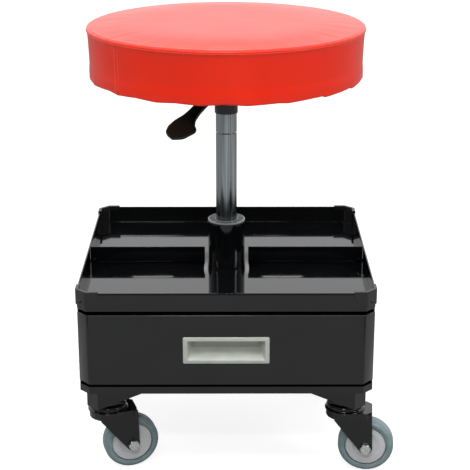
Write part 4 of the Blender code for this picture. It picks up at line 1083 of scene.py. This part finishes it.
# Paddle: at each distance along it, a squared oval between its left and right edges, thinner at the tip.
def makePaddle():
    pivot = joints["lever_lift"]
    length = paddle["left"][-1][0] * mm
    share = np.sin(np.linspace(0, math.pi / 2, 60))
    along = share * length
    even = np.linspace(0, length, 240)
    sides = []
    for side in ("left", "right"):
        knots = np.array(paddle[side]) * mm
        line = np.interp(even, knots[:, 0], knots[:, 1])
        for _ in range(paddle["smoothing"]):
            line[1:-1] = (line[:-2] + 2 * line[1:-1] + line[2:]) / 4
        sides.append(np.interp(along, even, line))
    left, right = sides
    tip = paddle["tip"]
    closing = np.sqrt(np.clip(1 - ((share - 1 + tip) / tip).clip(0, 1) ** 2, 0, 1))
    centre = (left + right) / 2
    half = (right - left) / 2 * np.maximum(closing, 0.02)
    thick = paddle["thickness"] / 2 * (1 - 0.25 * share ** 3) * np.maximum(closing, 0.15)
    turn = np.arange(40) * math.tau / 40
    square = np.sign(np.cos(turn)) * abs(np.cos(turn)) ** 0.7
    level = np.sign(np.sin(turn)) * abs(np.sin(turn)) ** 0.6
    dish = -paddle["dish"] * (1 - square ** 2) * (level > 0)
    across = centre[:, None] + half[:, None] * square
    up = thick[:, None] * level + dish[None] * np.clip((share[:, None] - 0.4) * 3, 0, 1) * closing[:, None]
    back = -along[:, None] + 0 * across
    tilt = paddle["droop"]
    rootY, rootZ = paddle["root"]
    localY = rootY + back * math.cos(tilt) - up * math.sin(tilt)
    localZ = rootZ + back * math.sin(tilt) + up * math.cos(tilt)
    axis = -np.array(pivot["axis"])
    forward = np.array([-axis[1], axis[0], 0])
    grid = np.array(pivot["pos_m"]) + across[..., None] * axis + localY[..., None] * forward \
        + localZ[..., None] * np.array([0, 0, 1.0])
    addShape("lever_paddle", [(grid, False, True)], blackPlastic, "lever", ["lever_handle"],
             closeEnds=True, sharpAngle=50)


makePaddle()
print("lever ready")

# Floor, lights and camera.
studio = {
    "floor": ("#A4A4A3", "#A8A8A7"),
    "behind": 1.32,          # light from the backdrop side, which the tray's floor mirrors
    "ahead": 0.20,           # light from the camera's side
    "glow": 0.80,            # what the sheet adds of its own where the camera looks at it
    "lens": 103.3,
    "eye": (0.0067, -1.7355, 0.8757),
    "pitch": math.radians(18.93),
    "yaw": 0.0028,
}


# Backlit opal sheet of a light table: white to the camera, mid grey to whatever mirrors it.
def opalSheet():
    material, tree, shader = startMaterial("backlit_opal_sheet", Roughness=0.85)
    shadeBy(tree, shader, noiseAt(tree, 4), studio["floor"])
    shader.inputs["Emission Color"].default_value = (1, 1, 1, 1)
    glow = addNode(tree, "ShaderNodeMath", {"operation": "MULTIPLY", 1: studio["glow"]},
                   {0: addNode(tree, "ShaderNodeLightPath")})
    tree.links.new(glow.outputs[0], shader.inputs["Emission Strength"])
    return material


def makeFloor():
    grid = np.zeros((2, 2, 3))
    grid[..., 0] = [[-6, 6], [-6, 6]]
    grid[..., 1] = [[-5, -5], [9, 9]]
    grid[..., 2] = -0.0002
    mesh = meshFromGrids("floor", [(grid, False, False)])
    mesh.materials.append(opalSheet())
    floor = bpy.data.objects.new("floor", mesh)
    scene.collection.objects.link(floor)


def makeLight(name, place, target, size, power):
    data = bpy.data.lights.new(name, "AREA")
    data.shape = "RECTANGLE"
    data.size, data.size_y = size
    data.energy = power
    lamp = bpy.data.objects.new(name, data)
    lamp.location = place
    lamp.rotation_euler = (Vector(target) - Vector(place)).to_track_quat("-Z", "Y").to_euler()
    scene.collection.objects.link(lamp)


def makeCamera():
    data = bpy.data.cameras.new("camera")
    data.lens = studio["lens"]
    data.clip_end = 30
    camera = bpy.data.objects.new("camera", data)
    camera.location = studio["eye"]
    camera.rotation_euler = (math.pi / 2 - studio["pitch"], 0, -studio["yaw"])
    scene.collection.objects.link(camera)
    scene.camera = camera


def makeWorld():
    world = bpy.data.worlds.new("studio")
    world.use_nodes = True
    tree = world.node_tree
    sky = tree.nodes["Background"]
    sky.inputs["Color"].default_value = (1, 1, 1, 1)
    generated = addNode(tree, "ShaderNodeTexCoord").outputs["Generated"]
    way = addNode(tree, "ShaderNodeSeparateXYZ", links={"Vector": generated})
    limits = {"From Min": -0.35, "From Max": 0.45, "To Min": studio["ahead"], "To Max": studio["behind"]}
    level = addNode(tree, "ShaderNodeMapRange", limits, {"Value": way.outputs["Y"]})
    tree.links.new(level.outputs["Result"], sky.inputs["Strength"])
    seen = addNode(tree, "ShaderNodeBackground", {"Color": (1, 1, 1, 1), "Strength": 1.0})
    direct = addNode(tree, "ShaderNodeLightPath")
    mix = addNode(tree, "ShaderNodeMixShader", links={0: direct, 1: sky, 2: seen})
    tree.links.new(mix.outputs[0], tree.nodes["World Output"].inputs["Surface"])
    scene.world = world
    scene.view_settings.view_transform = "Standard"


makeFloor()
makeLight("overhead_softbox", (0.0, -0.9, 2.3), (0, 0, 0.4), (2.2, 1.2), 46)
makeLight("front_softbox", (-0.2, -2.3, 2.1), (0, 0, 0.3), (0.8, 0.2), 22)
makeLight("right_softbox", (1.7, -0.9, 1.3), (0, 0, 0.4), (0.5, 1.3), 12)
makeLight("left_softbox", (-1.9, -1.0, 1.5), (0, 0, 0.4), (0.4, 1.2), 5)
makeCamera()
makeWorld()
